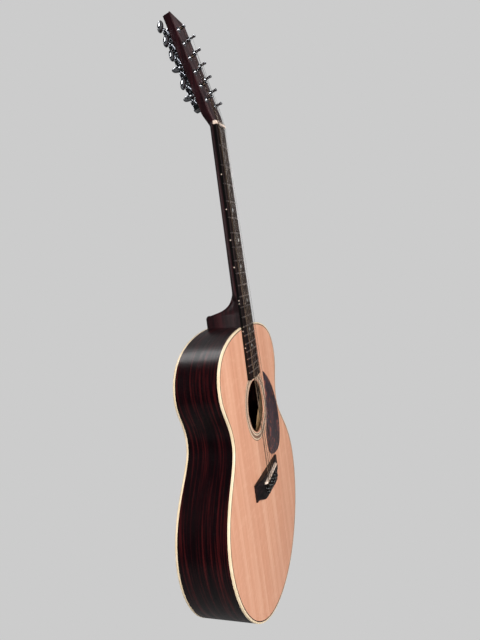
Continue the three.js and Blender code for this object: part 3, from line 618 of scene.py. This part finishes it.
def add_bindings():
    """The cream edges, and the thin lines let in beside them."""
    top = rounded_band(0, BINDING_WIDTH, front, front(BINDING_HEIGHT))
    piece("front_binding", top, CREAM, replaces=("top_binding",))
    rear = rounded_band(0, BINDING_WIDTH, back, back(BINDING_HEIGHT))
    piece("rear_binding", rear, CREAM, replaces=("back_binding",))
    lines = (
        ("front_line_pale", front, BINDING_WIDTH, PALE_LINE_END, LINE_PALE),
        ("front_line_dark", front, PALE_LINE_END, DARK_LINE_END, LINE_DARK),
        ("rear_line_dark", back, BINDING_WIDTH, REAR_LINE_END, LINE_DARK),
    )
    for name, surface, outer, inner, colour in lines:
        lift = -0.00004 if surface is front else 0.00001
        section = [
            loop(outer, surface(0.0006)),
            loop(outer, surface(lift)),
            loop(inner, surface(lift)),
            loop(inner, surface(0.0006)),
        ]
        piece(name, loft(section, closed=True), colour)


def add_sides():
    flush = 0.0001
    section = [
        loop(flush, front(BINDING_HEIGHT)),
        loop(SIDE_THICKNESS, front(BINDING_HEIGHT)),
        loop(SIDE_THICKNESS, back(BINDING_HEIGHT)),
        loop(flush, back(BINDING_HEIGHT)),
    ]
    rings = list(zip(*section))
    halves = {"treble": rings[: TAIL_INDEX + 1], "bass": rings[TAIL_INDEX:] + rings[:1]}
    for name, half in halves.items():
        piece(f"rim_{name}", loft(half), SIDE_WOOD, replaces=(f"side_{name}",))


def add_pickguard():
    """A thin plate; its curves are in millimetres from the soundhole's centre."""
    curves = (
        ((66, 51), (68, 15), (60, -28), (41, -59)),
        ((41, -59), (36, -70), (34, -90), (40, -103)),
        ((40, -103), (46, -118), (64, -124), (92, -124)),
        ((92, -124), (118, -124), (134, -100), (134, -63)),
        ((134, -63), (134, -18), (112, 24), (66, 51)),
    )
    contour = []
    for curve in curves:
        contour += bezier([Vector((x / 1000, HOLE_Z + z / 1000)) for x, z in curve], 15)[:-1]
    layers = ((FRONT, 0), (FRONT - 0.0009, 0), (FRONT - 0.0014, 0.0003), (FRONT - 0.0016, 0.0009))
    piece("pickguard_plate", plate(contour, layers), TORTOISE, replaces=("pickguard",))


def add_strap_button():
    """A turned knob on a peg that goes into the tail block."""
    profile = (
        (0.004, 0.012), (0.004, -0.0002), (0.0085, -0.0002), (0.009, -0.0008), (0.009, -0.002),
        (0.0075, -0.0032), (0.0056, -0.0045), (0.005, -0.0062), (0.0052, -0.0085),
        (0.0066, -0.0105), (0.0084, -0.0118), (0.0085, -0.0126), (0.0078, -0.0136), (0.006, -0.014),
        (0.001, -0.014),
    )
    upright = Matrix.Rotation(math.pi / 2, 4, "X")
    knob = lathe(profile)
    piece("strap_peg", knob, BLACK, place=upright, replaces=("strap_button",), crease=50)


# ---- Bridge ----


def string_across(index, courses, pair):
    """Where a string lies across the guitar."""
    along = index // 2 / (len(STRINGS) / 2 - 1) - 0.5  # from -0.5 to 0.5
    return courses * along + (0.5 if index % 2 else -0.5) * pair


def at_nut(index):
    return string_across(index, COURSES_AT_NUT, PAIR_AT_NUT)


def at_saddle(index):
    return string_across(index, COURSES_AT_SADDLE, PAIR_AT_SADDLE)


def pin_place(index):
    """A pin's (x, z); the two rows follow the saddle's slant."""
    aside = 0 if index % 2 else PIN_ASIDE
    x = at_saddle(index) - aside
    return x, SADDLE_Z + x * math.tan(SADDLE_SLANT) - PIN_ROWS[index % 2]


def rounded_section(z0, z1, height, radius=0.0012):
    """The (y, z) outline of a bar on the soundboard with rounded top edges."""
    steps = angles(QUARTER_TURN, 3)
    first = [(height - radius * (1 - math.sin(t)), z0 + radius * (1 - math.cos(t))) for t in steps]
    second = [(height - radius * (1 - math.cos(t)), z1 - radius * (1 - math.sin(t))) for t in steps]
    return [(0, z0), *first, *second, (0, z1)]


def add_bridge():
    """A bar with thin wings and a belly towards the tail."""
    handles = (
        Vector((BRIDGE_HALF, BRIDGE_END)),
        Vector((BRIDGE_HALF - 0.014, BRIDGE_HOLLOW)),
        Vector((BRIDGE_HALF - 0.024, BRIDGE_BELLY)),
        Vector((BRIDGE_HALF - 0.044, BRIDGE_BELLY)),
    )
    belly_curve = bezier(handles, 17)
    stations = [Vector((-p.x, p.y)) for p in belly_curve] + belly_curve[::-1]
    rings = []
    for x, depth in stations:
        height = lerp(WING_THICKNESS, BRIDGE_HEIGHT, smoothstep(BRIDGE_HALF - abs(x), 0, 0.032))
        section = rounded_section(BRIDGE_Z - depth, BRIDGE_Z, height)
        rings.append([(x, FRONT - y, z) for y, z in section])
    bar = loft(rings)
    piece("bridge_body", bar, BRIDGE_WOOD, replaces=("bridge",), bevel=0.0005, crease=50)


def add_pins():
    pins = Shape()
    profile = (
        (0.0024, 0.004), (0.0024, -0.0001), (0.0029, -0.0004), (0.003, -0.0012), (0.0026, -0.0016),
        (0.003, -0.0021), (0.0033, -0.0032), (0.003, -0.0043), (0.0021, -0.005), (0.0006, -0.0053),
    )
    for index in range(len(STRINGS)):
        x, z = pin_place(index)
        pins.add(lathe(profile, 20), Matrix.Translation((x, BRIDGE_TOP, z)))
    piece("bridge_pins", pins, BLACK, crease=60)


def add_saddle():
    """A slanted bone bar with a round crown and sloping ends."""
    half = SADDLE_THICKNESS / 2
    count = 24
    rings = []
    for i in range(count + 1):
        x = lerp(-1, 1, i / count) * SADDLE_LENGTH / 2
        end = smoothstep(SADDLE_LENGTH / 2 - abs(x), -0.0005, 0.003)
        top = BRIDGE_TOP - SADDLE_SHOWS - 0.0002 + 0.0035 * (1 - end)
        arc = angles(math.pi, 6)
        crown = [(x, top + half * 0.7 * (1 - math.sin(t)), -half * math.cos(t)) for t in arc]
        rings.append([(x, BRIDGE_TOP + 0.005, -half), *crown, (x, BRIDGE_TOP + 0.005, half)])
    slant = Matrix.Translation((0, 0, SADDLE_Z)) @ Matrix.Rotation(-SADDLE_SLANT, 4, "Y")
    piece("saddle_bone", loft(rings), BONE, place=slant, replaces=("saddle",))


# ---- Neck and headstock ----

HALF_POINTS = 14  # points on half of a neck section, from the front edge to the middle of the back


def board_half(z):
    """Half the fretboard's width, z up from the body's edge."""
    return lerp(JOINT_WIDTH, NUT_WIDTH, z / NECK_LENGTH) / 2


def head_half(s):
    """Half the headstock's width, s up from the fretboard's end."""
    straight = lerp(HEAD_WIDTH_LOW, HEAD_WIDTH_TOP, (s - HEAD_FLARE) / (HEAD_LENGTH - HEAD_FLARE))
    return lerp(NUT_WIDTH, straight, smoothstep(s, 0, HEAD_FLARE)) / 2


def round_half(half, depth):
    """Half a playing section, rounded behind."""
    turns = angles(QUARTER_TURN, HALF_POINTS - 1)
    return [(half * max(math.cos(t), 0) ** 0.8, depth * math.sin(t) ** 0.85) for t in turns]


def square_half(half, depth, radius=0.0018):
    """Half a headstock section: straight side, rounded edge, flat back."""
    straight = [(half, (depth - radius) * i / 5) for i in range(6)]
    turns = angles(QUARTER_TURN, 4)[1:]
    edge = [(half - radius * (1 - math.cos(t)), depth - radius * (1 - math.sin(t))) for t in turns]
    inner = half - radius
    flat = [(inner * (1 - i / 4), depth) for i in range(1, 5)]
    return straight + edge + flat


def heel_half(half, depth, back_half):
    """Half a heel section with hollow cheeks and a narrow flat back."""
    count = HALF_POINTS - 2
    cheek = []
    for i in range(count):
        t = (i / (count - 1)) ** 1.2
        cheek.append((lerp(back_half, half, (1 - t) ** 2.2), depth * t))
    return cheek + [(back_half / 2, depth), (0, depth)]


def whole_ring(half_section, z, face=0.0):
    """A ring in the (x, y) plane from half of it; face is how deep its front lies."""
    halves = [(x, max(y, face)) for x, y in half_section]
    right = [(x, y, z) for x, y in halves]
    left = [(-x, y, z) for x, y in halves[:-1]]
    return [Vector(p) for p in [(0, face, z)] + right + left[::-1]]


def blended(a, b, t):
    return [(lerp(p[0], q[0], t), lerp(p[1], q[1], t)) for p, q in zip(a, b)]


def refined(rings, steps):
    """Rings with smooth curves through them, by Catmull-Rom between each pair."""
    made = []
    last = len(rings) - 1
    for r in range(last):
        a, b, c, d = rings[max(r - 1, 0)], rings[r], rings[r + 1], rings[min(r + 2, last)]
        for k in range(steps):
            t = k / steps
            made.append([curve_point(p, t) for p in zip(a, b, c, d)])
    return made + [rings[-1]]


def curve_point(points, t):
    """The point at t between the middle two of four."""
    a, b, c, d = points
    linear = (c - a) * t
    square = (2 * a - 5 * b + 4 * c - d) * t * t
    cube = (3 * b - a - 3 * c + d) * t * t * t
    return (2 * b + linear + square + cube) / 2


def neck_rings():
    """From the heel, just inside the rim, up to the nut, in the world frame."""
    heel = (
        (0.008, HEEL_DEPTH, HEEL_HALF), (0.016, HEEL_DEPTH, HEEL_HALF),
        (0.0225, HEEL_DEPTH, HEEL_HALF), (0.0238, 0.0665, HEEL_HALF), (0.0255, 0.06, 0.0112),
        (0.0275, 0.052, 0.0115), (0.0305, 0.041, 0.012), (0.035, 0.031, 0.0125),
        (0.041, 0.023, 0.0135), (0.048, 0.0175, 0.015),
    )
    rings = [whole_ring(heel_half(board_half(z), depth, back_half), z) for z, depth, back_half in heel]
    inside = 0.0012  # how far the foot reaches into the rim
    foot = []
    for p in rings[0]:
        foot.append(Vector((p.x, p.y, (p.y * math.sin(NECK_ANGLE) - inside) / math.cos(NECK_ANGLE))))
    z = 0.056
    shoulder = blended(heel_half(board_half(z), 0.0152, 0.017), round_half(board_half(z), 0.0152), 0.6)
    rings.append(whole_ring(shoulder, z))
    for z in (0.066, 0.08, 0.12, 0.17, 0.23, 0.29, 0.33, NECK_LENGTH):
        depth = lerp(NECK_DEPTH_HEEL, NECK_DEPTH_NUT, (z - 0.062) / (NECK_LENGTH - 0.062))
        rings.append(whole_ring(round_half(board_half(z), depth), z))
    return [[NECK @ p for p in ring] for ring in [foot] + refined(rings, 4)]


def head_rings():
    """From behind the nut to the top of the headstock, in the world frame."""
    rings = []  # (s, how deep the face lies, inset)
    for s in (0.0065, 0.0066, 0.009, 0.012, 0.015, 0.018, 0.021, 0.024, HEAD_FLARE, 0.06, 0.1, 0.15):
        rings.append((s, 0.0035 if s < 0.0066 else 0.0, 0))
    rings += [(HEAD_LENGTH - 0.0008, 0.0, 0), (HEAD_LENGTH, 0.0008, 0.0008)]
    made = []
    for s, face, inset in rings:
        square = square_half(head_half(s) - inset, HEAD_THICKNESS - inset)
        playing = round_half(head_half(s), HEAD_THICKNESS)
        section = blended(playing, square, smoothstep(s, 0, HEAD_FLARE))
        made.append([HEAD @ p for p in whole_ring(section, s, face)])
    return made


def add_neck():
    """The neck with its heel and headstock in one, and the headstock's veneer."""
    wood_part = loft(neck_rings() + head_rings())
    piece("neck_wood", wood_part, NECK_WOOD, replaces=("neck",), crease=40)
    stations = [lerp(0.0068, HEAD_FLARE, i / 10) for i in range(11)] + [HEAD_LENGTH]
    right = [(head_half(s) + 0.00006, s) for s in stations]
    contour = right + [(-x, s) for x, s in reversed(right)]
    layers = ((0.0016, 0), (0.0003, 0), (-0.0001, 0.0004))
    piece("headplate", plate(contour, layers), HEAD_VENEER, place=HEAD)


def add_nut():
    """A bone nut with a flat top that drops at its ends, and a slot under each string."""
    half = NUT_WIDTH / 2
    xs = {half * (2 * i / 16 - 1) for i in range(17)}
    slots = {}
    for index, (_, radius, _) in enumerate(STRINGS):
        x = at_nut(index)
        width = radius + 0.00015
        xs = {v for v in xs if abs(v - x) > width}
        xs |= {x - width, x - width * 0.6, x + width * 0.6, x + width}
        slots[x - width * 0.6] = slots[x + width * 0.6] = radius * 1.4
    rings = []
    for x in sorted(xs):
        end = 0.0012 * (1 - smoothstep(half - abs(x), 0, 0.0014))
        top = NUT_TOP - 0.0007 + slots.get(x, 0) + end
        near = NECK_LENGTH + 0.0001
        far = NECK_LENGTH + NUT_THICKNESS + 0.0008
        front_edge = [(x, 0, near), (x, top, near), (x, top, near + 0.0018)]
        back_edge = [(x, top + 0.0009, far - 0.001), (x, top + 0.0018, far), (x, 0, far)]
        rings.append(front_edge + back_edge)
    piece("nut_bone", loft(rings), BONE, place=NECK, replaces=("nut",), crease=45)


def board_top(x):
    """The curved playing face, in the neck's frame."""
    return -BOARD_THICKNESS + BOARD_CROWN - math.sqrt(BOARD_CROWN**2 - x**2)


def add_fretboard():
    """The board, with painted shade on its sides in a near-black copy of its wood, and its frets."""
    rings = []
    for z in (BOARD_END, BOARD_END + 0.0004, -0.05, 0, 0.12, 0.24, NECK_LENGTH):
        half = board_half(z) - (0.0004 if z == BOARD_END else 0)
        under = max(0, -z * math.tan(NECK_ANGLE))
        xs = [half * (1 - i / 6) for i in range(13)]
        edge = 0.0004
        top = [(x, board_top(x), z) for x in xs[1:-1]]
        right = [(half, under, z), (half, board_top(half) + edge, z), (half - edge, board_top(half), z)]
        rings.append(right + top + [(-x, y, z) for x, y, z in reversed(right)])
    slab = loft(rings)
    board = piece("fingerboard", slab, BOARD_WOOD, "root", NECK, ("fretboard",), crease=40)
    # The side faces take the near-black copy of the wood, as painted shade.
    board.data.materials.append(BOARD_SIDE_SHADE)
    for face in board.data.polygons:
        face.material_index = 1 if abs(face.normal.x) > 0.9 else 0
    frets = Shape()
    for number in range(1, FRET_COUNT + 1):
        frets.add(fret(NECK_LENGTH - fret_distance(number)))
    piece("frets", frets, FRET_WIRE, place=NECK, crease=50)


def fret(z):
    """One fret: a rounded crown that follows the board, with sloped ends."""
    half = board_half(z) + 0.0001
    arc = angles(math.pi, 8)
    rings = []
    for x in [-half, -half + 0.0009] + [half * (i / 5 - 1) for i in range(1, 10)] + [half - 0.0009, half]:
        full = 0.35 if abs(x) > half - 0.0004 else 1.0
        rise = FRET_HEIGHT * full
        crown = [(x, board_top(x) - rise * math.sin(t), z + 0.0012 * math.cos(t)) for t in arc]
        foot = board_top(x) + 0.0016
        rings.append([(x, foot, z + 0.0005), *crown, (x, foot, z - 0.0005)])
    return loft(rings)


def add_dots():
    """Pearl dots on the board's face, and small ones on its bass edge."""
    face = Shape()
    edge = Shape()
    disc = ((0.003, 0.001), (0.003, -0.00003), (0.0029, -0.00005))
    small = ((0.0011, 0.001), (0.0011, -0.00003), (0.001, -0.00006))
    for number in (3, 5, 7, 9, 12, 15, 17):
        z = NECK_LENGTH - (fret_distance(number) + fret_distance(number - 1)) / 2
        pair = number in (7, 12)
        if number > 3:
            for x in (-0.009, 0.009) if pair else (0,):
                tilt = Matrix.Rotation(-x / BOARD_CROWN, 4, "Z")
                face.add(lathe(disc, 24), Matrix.Translation((x, board_top(x) + 0.00001, z)) @ tilt)
        for dz in (-0.003, 0.003) if number == 12 else (0,):
            spot = Matrix.Translation((-board_half(z), -0.003, z + dz))
            edge.add(lathe(small, 16), spot @ Matrix.Rotation(-math.pi / 2, 4, "Z"))
    piece("face_dots", face, PEARL, place=NECK)
    piece("side_dots", edge, BONE, place=NECK)


def add_heel_cap():
    """A dark plate on the heel's end, rounded at the top."""
    start = HEEL_DEPTH * math.tan(NECK_ANGLE) + 0.0001
    top = 0.024
    arch = [(HEEL_HALF, start), (0.0108, 0.012), (0.0106, top - 0.005)]
    turns = angles(QUARTER_TURN, 6)[1:]
    arch += [(0.0106 * math.cos(t), top - 0.005 + 0.005 * math.sin(t)) for t in turns]
    contour = arch + [(-x, z) for x, z in reversed(arch[:-1])]
    layers = ((HEEL_DEPTH - 0.0002, 0), (HEEL_DEPTH + 0.0022, 0), (HEEL_DEPTH + 0.0028, 0.0006))
    piece("heel_cap_plate", plate(contour, layers), CAP_WOOD, place=NECK, replaces=("heel_cap",))


# ---- Tuning machines ----


def tuner_places():
    """(side, number, x, s) of each post in the headstock's frame."""
    places = []
    for side in (-1, 1):
        for i in range(TUNERS_PER_SIDE):
            s = FIRST_TUNER + i * TUNER_PITCH
            places.append((side, i + 1, side * (head_half(s) - TUNER_FROM_EDGE), s))
    return places


SIDE_NAMES = {-1: "bass", 1: "treble"}


def add_posts():
    """Turned posts, waisted where the string winds, each with its gear."""
    profile = (
        (0.0022, GEARBOX_FRONT + 0.0075), (POST_RADIUS, GEARBOX_FRONT + 0.007),
        (POST_RADIUS, -0.0036), (POST_WAIST, -0.0045), (POST_WAIST, -0.0101), (POST_RADIUS, -0.011),
        (POST_RADIUS, -0.0134), (0.0022, -POST_HEIGHT + 0.0002), (0.0018, -POST_HEIGHT),
        (0.0012, -POST_HEIGHT + 0.0004), (0.0003, -POST_HEIGHT + 0.0005),
    )
    near = GEARBOX_FRONT + 0.0035
    far = near + 0.003
    gear = ((0.0024, near), (0.0042, near), (0.0042, far), (0.0024, far))
    for side, number, x, s in tuner_places():
        body = f"post_{SIDE_NAMES[side]}_{number}"
        where = HEAD @ Matrix.Translation((x, 0, s))
        post = Shape().add(lathe(profile)).add(lathe(gear, 28))
        piece(f"{body}_metal", post, CHROME, body, where, (f"tuner_{body}",), crease=30)
        add_windings(side, number, body, where)


def string_of(side, number):
    """The index of the string on a post: the outer courses go to the posts nearest the nut."""
    return number - 1 if side < 0 else len(STRINGS) - number


def wire_finish(wound):
    """A string's material and slot."""
    return (WOUND_WIRE, "wound_string") if wound else (PLAIN_WIRE, "plain_string")


def add_windings(side, number, body, where):
    """The turns of string round a post, as closed rings, so that any turn of the post looks right."""
    _, radius, wound = STRINGS[string_of(side, number)]
    height = STRING_HEIGHTS[(number - 1) % 2]
    turns = min(5, int((height - 0.0047) / (2 * radius)) + 1)
    coil = Shape()
    for turn in range(turns):
        coil.add(torus(POST_WAIST + radius, radius, -height + 2 * radius * turn))
    finish, slot = wire_finish(wound)
    piece(f"{body}_winding", coil, finish, body, where, crease=60)


def add_bushings():
    """A washer and a collar round each post on the headstock's face."""
    bushing = Shape()
    profile = (
        (0.0028, 0.001), (0.0053, 0.001), (0.0053, -0.0006), (0.005, -0.001), (0.0041, -0.0012),
        (0.0038, -0.0022), (0.0034, -0.0026), (0.0028, -0.0026),
    )
    for _, _, x, s in tuner_places():
        bushing.add(lathe(profile, 28), Matrix.Translation((x, 0, s)))
    piece("post_bushings", bushing, CHROME, place=HEAD, crease=40)


def cut_corners(width, height, corner):
    """A rectangle with rounded corners, as (x, z) points."""
    points = []
    for quarter, (sx, sz) in enumerate(((1, 1), (-1, 1), (-1, -1), (1, -1))):
        for k in range(5):
            turn = math.pi / 2 * (quarter + k / 4)
            middle = Vector((sx * (width / 2 - corner), sz * (height / 2 - corner)))
            points.append(middle + Vector((math.cos(turn), math.sin(turn))) * corner)
    return points


def gearbox():
    """A cast cup over the gear and worm, open towards the wood."""
    outer = cut_corners(0.0166, 0.0216, 0.0045)
    depth = 0.0105
    wall = 0.0012
    rounding = 0.0022
    inner = shrunk(outer, wall)
    cup = [
        [(x, depth - wall, z) for x, z in inner],
        [(x, 0.0001, z) for x, z in inner],
        [(x, 0.0001, z) for x, z in outer],
    ]
    for turn in angles(QUARTER_TURN, 4):
        level = depth - rounding * (1 - math.sin(turn))
        cup.append([(x, level, z) for x, z in shrunk(outer, rounding * (1 - math.cos(turn)))])
    return loft(cup)


def screw():
    """A plain domed screw head."""
    return lathe(((0.0019, 0.0), (0.0019, 0.0005), (0.0015, 0.001), (0.0006, 0.0012)), 20)


def add_gearboxes():
    """Each side's gearboxes on their strip, with a sleeve for each button's shaft and a screw each."""
    sleeve = ((0.0032, 0.0), (0.0034, 0.0004), (0.0034, 0.0026), (0.003, 0.003), (0.0019, 0.003))
    strip_half = 0.0035
    for side, name in SIDE_NAMES.items():
        casings = Shape()
        screws = Shape()
        places = [(x, s) for where, _, x, s in tuner_places() if where == side]
        for x, s in places:
            base = Matrix.Translation((x, GEARBOX_FRONT, s - 0.001))
            casings.add(gearbox(), base)
            across = Matrix.Rotation(-side * math.pi / 2, 4, "Z")
            spot = Matrix.Translation((x + side * 0.0078, WORM_Y, s + WORM_OFFSET))
            casings.add(lathe(sleeve, 20), spot @ across)
            screws.add(screw(), Matrix.Translation((x, GEARBOX_FRONT + 0.0104, s - 0.0025)))
        first, last = places[0], places[-1]
        strip = [
            (first[0] - strip_half, first[1]),
            (first[0] + strip_half, first[1]),
            (last[0] + strip_half, last[1] + WORM_OFFSET),
            (last[0] - strip_half, last[1] + WORM_OFFSET),
        ]
        layers = ((GEARBOX_FRONT, 0), (GEARBOX_FRONT + 0.0008, 0), (GEARBOX_FRONT + 0.001, 0.0002))
        casings.add(plate(strip, layers))
        node_name = f"gearboxes_{name}"
        piece(f"casings_{name}", casings, CHROME, place=HEAD, replaces=(node_name,), crease=50)
        piece(f"casing_screws_{name}", screws, FRET_WIRE, place=HEAD, crease=40)


def button():
    """A flattened oval grip on a collar and shaft, with the worm on the inner end, along +X."""
    rings = []
    count = 18
    turns = angles(FULL_TURN, 32)[:-1]
    for i in range(1, count):
        t = -math.cos(math.pi * i / count)
        wide = BUTTON_WIDTH / 2 * (1 - abs(t) ** 2.5) ** (1 / 2.3)
        thick = BUTTON_THICKNESS / 2 * (1 - abs(t) ** 2.3) ** 0.5
        x = BUTTON_CENTRE + BUTTON_LENGTH / 2 * t
        rings.append([(x, thick * math.sin(a), wide * math.cos(a)) for a in turns])
    turned = Matrix.Rotation(-math.pi / 2, 4, "Z")
    shaft = (
        (0.0014, -0.0055), (0.0017, -0.0052), (0.0017, 0.0056), (0.0014, 0.006), (0.0014, 0.0115),
        (0.0026, 0.0118), (0.0028, 0.0124), (0.0026, 0.013), (0.0016, 0.0134), (0.0016, 0.0165),
        (0.0028, 0.0182), (0.0028, 0.0195),
    )
    return Shape().add(loft(rings)).add(lathe(shaft, 24), turned)


def add_buttons():
    for side, number, x, s in tuner_places():
        body = f"button_{SIDE_NAMES[side]}_{number}"
        turn = Matrix.Rotation(math.radians(BUTTON_TURNS[side][number - 1]), 4, "X")
        outward = Matrix.Rotation(math.pi if side < 0 else 0, 4, "Y")
        where = HEAD @ Matrix.Translation((x, WORM_Y, s + WORM_OFFSET)) @ outward @ turn
        piece(f"{body}_grip", button(), CHROME, body, where, (f"tuner_{body}",), crease=45)


# ---- Strings ----


def string_route(index, radius):
    """From beside the post over the nut and the saddle to the pin's hole."""
    side = -1 if index < TUNERS_PER_SIDE else 1
    number = index + 1 if side < 0 else len(STRINGS) - index
    post_x, s = next(spot[2:] for spot in tuner_places() if spot[:2] == (side, number))
    height = STRING_HEIGHTS[(number - 1) % 2]
    beside = HEAD @ Vector((post_x - side * (POST_WAIST + radius + 0.0001), -height, s))
    bite = HEAD @ Vector((post_x - side * (POST_WAIST + radius), -height, s + 0.0012))
    top = NUT_TOP - radius - 0.0003
    over_nut = [NECK @ Vector((at_nut(index), top, NECK_LENGTH + past)) for past in (0.0058, 0.002, 0.0003)]
    over_nut[0].y += 0.0004
    x = at_saddle(index)
    z = SADDLE_Z + x * math.tan(SADDLE_SLANT)
    crest = BRIDGE_TOP - SADDLE_SHOWS - radius - 0.0002
    rounded = ((0.0012, 0.0001), (0, 0), (-0.0012, 0.0004))
    over_saddle = [Vector((x, crest + drop, z + dz)) for dz, drop in rounded]
    pin_x, pin_z = pin_place(index)
    hole = Vector((pin_x, BRIDGE_TOP - 0.0002, pin_z + 0.003))
    inside = hole + Vector((0, 0.003, -0.001))
    return [bite, beside, *over_nut, *over_saddle, hole, inside]


def add_strings():
    for index, (note, radius, wound) in enumerate(STRINGS):
        finish, slot = wire_finish(wound)
        wire = tube(string_route(index, radius), radius, 10)
        piece(f"wire_{note}", wire, finish, replaces=(f"string_{note}",), crease=60)


def dress_inner_nodes():
    """Gives the solids inside the body, which stay as packed, their looks."""
    for name in ("top_lining", "back_lining", "neck_block", "tail_block", "top_bracing", "back_bracing"):
        dress(name, BRACE_WOOD)
    dress("truss_rod", FRET_WIRE)


def dress(name, finish):
    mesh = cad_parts[name].data
    mesh.materials.clear()
    mesh.materials.append(finish)


# ---- Surroundings ----

BACKDROP = srgb("cccccc")
FLOOR_LEVEL = -0.55
CAMERA_SPOT = Vector((-0.88266, -0.35051, 0.65092))
CAMERA_ANGLES = (-70.77, 6.03, -7.61)  # azimuth, elevation and roll, in degrees
CAMERA_LENS = 28.395  # mm, on a sensor 36 mm wide


def add_floor():
    """A wide pale floor, plain towards the camera and softly lit for everything else."""
    made, tree, shader = material("floor", Roughness=0.9)
    shader.inputs["Base Color"].default_value = srgb("747474")
    glow = node(tree, "Emission", {"Color": BACKDROP, "Strength": 1.0}).outputs[0]
    seen = node(tree, "LightPath").outputs["Is Camera Ray"]
    both = node(tree, "MixShader", {0: seen, 1: shader.outputs[0], 2: glow}).outputs[0]
    tree.links.new(both, tree.nodes["Material Output"].inputs["Surface"])
    mesh = bpy.data.meshes.new("floor")
    corners = [(x, y, FLOOR_LEVEL) for x, y in ((-1.4, -3), (7, -3), (7, 4), (-1.4, 4))]
    mesh.from_pydata(corners, [], [(0, 1, 2, 3)])
    mesh.materials.append(made)
    floor = bpy.data.objects.new("floor", mesh)
    bpy.context.scene.collection.objects.link(floor)


def add_world():
    """The backdrop's grey to the camera; a dim room, paler towards +X, for everything else."""
    world = bpy.data.worlds.new("studio")
    world.use_nodes = True
    bpy.context.scene.world = world
    tree = world.node_tree
    direction = node(tree, "TexCoord").outputs["Generated"]
    x = node(tree, "SeparateXYZ", {0: direction}).outputs[0]
    room = ramp(tree, spread(tree, x, -0.2, 0.6, 0, 1), [(0.0, srgb("1e1f20")), (1.0, srgb("7e7e7f"))])
    seen = node(tree, "LightPath").outputs["Is Camera Ray"]
    colour = mix(tree, seen, room, BACKDROP)
    tree.links.new(colour, tree.nodes["Background"].inputs["Color"])


def area_light(name, spot, target, size, power, reflects=True):
    """A soft rectangular light; one that doesn't reflect only lights matt surfaces."""
    data = bpy.data.lights.new(name, "AREA")
    data.shape = "RECTANGLE"
    data.size, data.size_y = size
    data.energy = power
    obj = bpy.data.objects.new(name, data)
    obj.location = spot
    obj.rotation_euler = (Vector(spot) - Vector(target)).to_track_quat("Z", "Y").to_euler()
    obj.visible_glossy = reflects
    bpy.context.scene.collection.objects.link(obj)


def add_lights():
    """A key and a fill from the bass side, and weaker lights above, behind and on the treble side."""
    middle = (0, 0, 0.45)
    area_light("key", (-1.5, -2.2, 1.3), middle, (1.5, 1.5), 95)
    area_light("fill", (-2.6, -1.0, 0.7), middle, (1.5, 1.5), 36, reflects=False)
    area_light("top", (0.35, 0.9, 2.6), middle, (1.0, 0.6), 19)
    area_light("behind", (-1.4, 2.3, 0.9), middle, (0.9, 1.2), 16)
    area_light("far_side", (2.3, 0.8, 1.0), middle, (1.0, 1.2), 18, reflects=False)


def add_camera():
    """Close beside the bass side, a little in front of it and looking slightly down."""
    azimuth, elevation, roll = (math.radians(a) for a in CAMERA_ANGLES)
    backwards = Vector((
        math.sin(azimuth) * math.cos(elevation),
        -math.cos(azimuth) * math.cos(elevation),
        math.sin(elevation),
    ))
    right = Vector((0, 0, 1)).cross(backwards).normalized()
    up = backwards.cross(right)
    turned_right = right * math.cos(roll) + up * math.sin(roll)
    turned_up = up * math.cos(roll) - right * math.sin(roll)
    data = bpy.data.cameras.new("camera")
    data.lens = CAMERA_LENS
    data.sensor_width = 36
    data.clip_start = 0.01
    camera = bpy.data.objects.new("camera", data)
    axes = Matrix((turned_right, turned_up, backwards)).transposed().to_4x4()
    camera.matrix_world = Matrix.Translation(CAMERA_SPOT) @ axes
    bpy.context.scene.collection.objects.link(camera)
    bpy.context.scene.camera = camera


# ---- Assembly ----

add_plates()
add_bindings()
add_sides()
add_pickguard()
add_strap_button()
add_bridge()
add_pins()
add_saddle()
add_neck()
add_nut()
add_fretboard()
add_dots()
add_heel_cap()
add_posts()
add_bushings()
add_gearboxes()
add_buttons()
add_strings()
dress_inner_nodes()
add_floor()
add_world()
add_lights()
add_camera()
bpy.context.scene.view_settings.view_transform = "Standard"
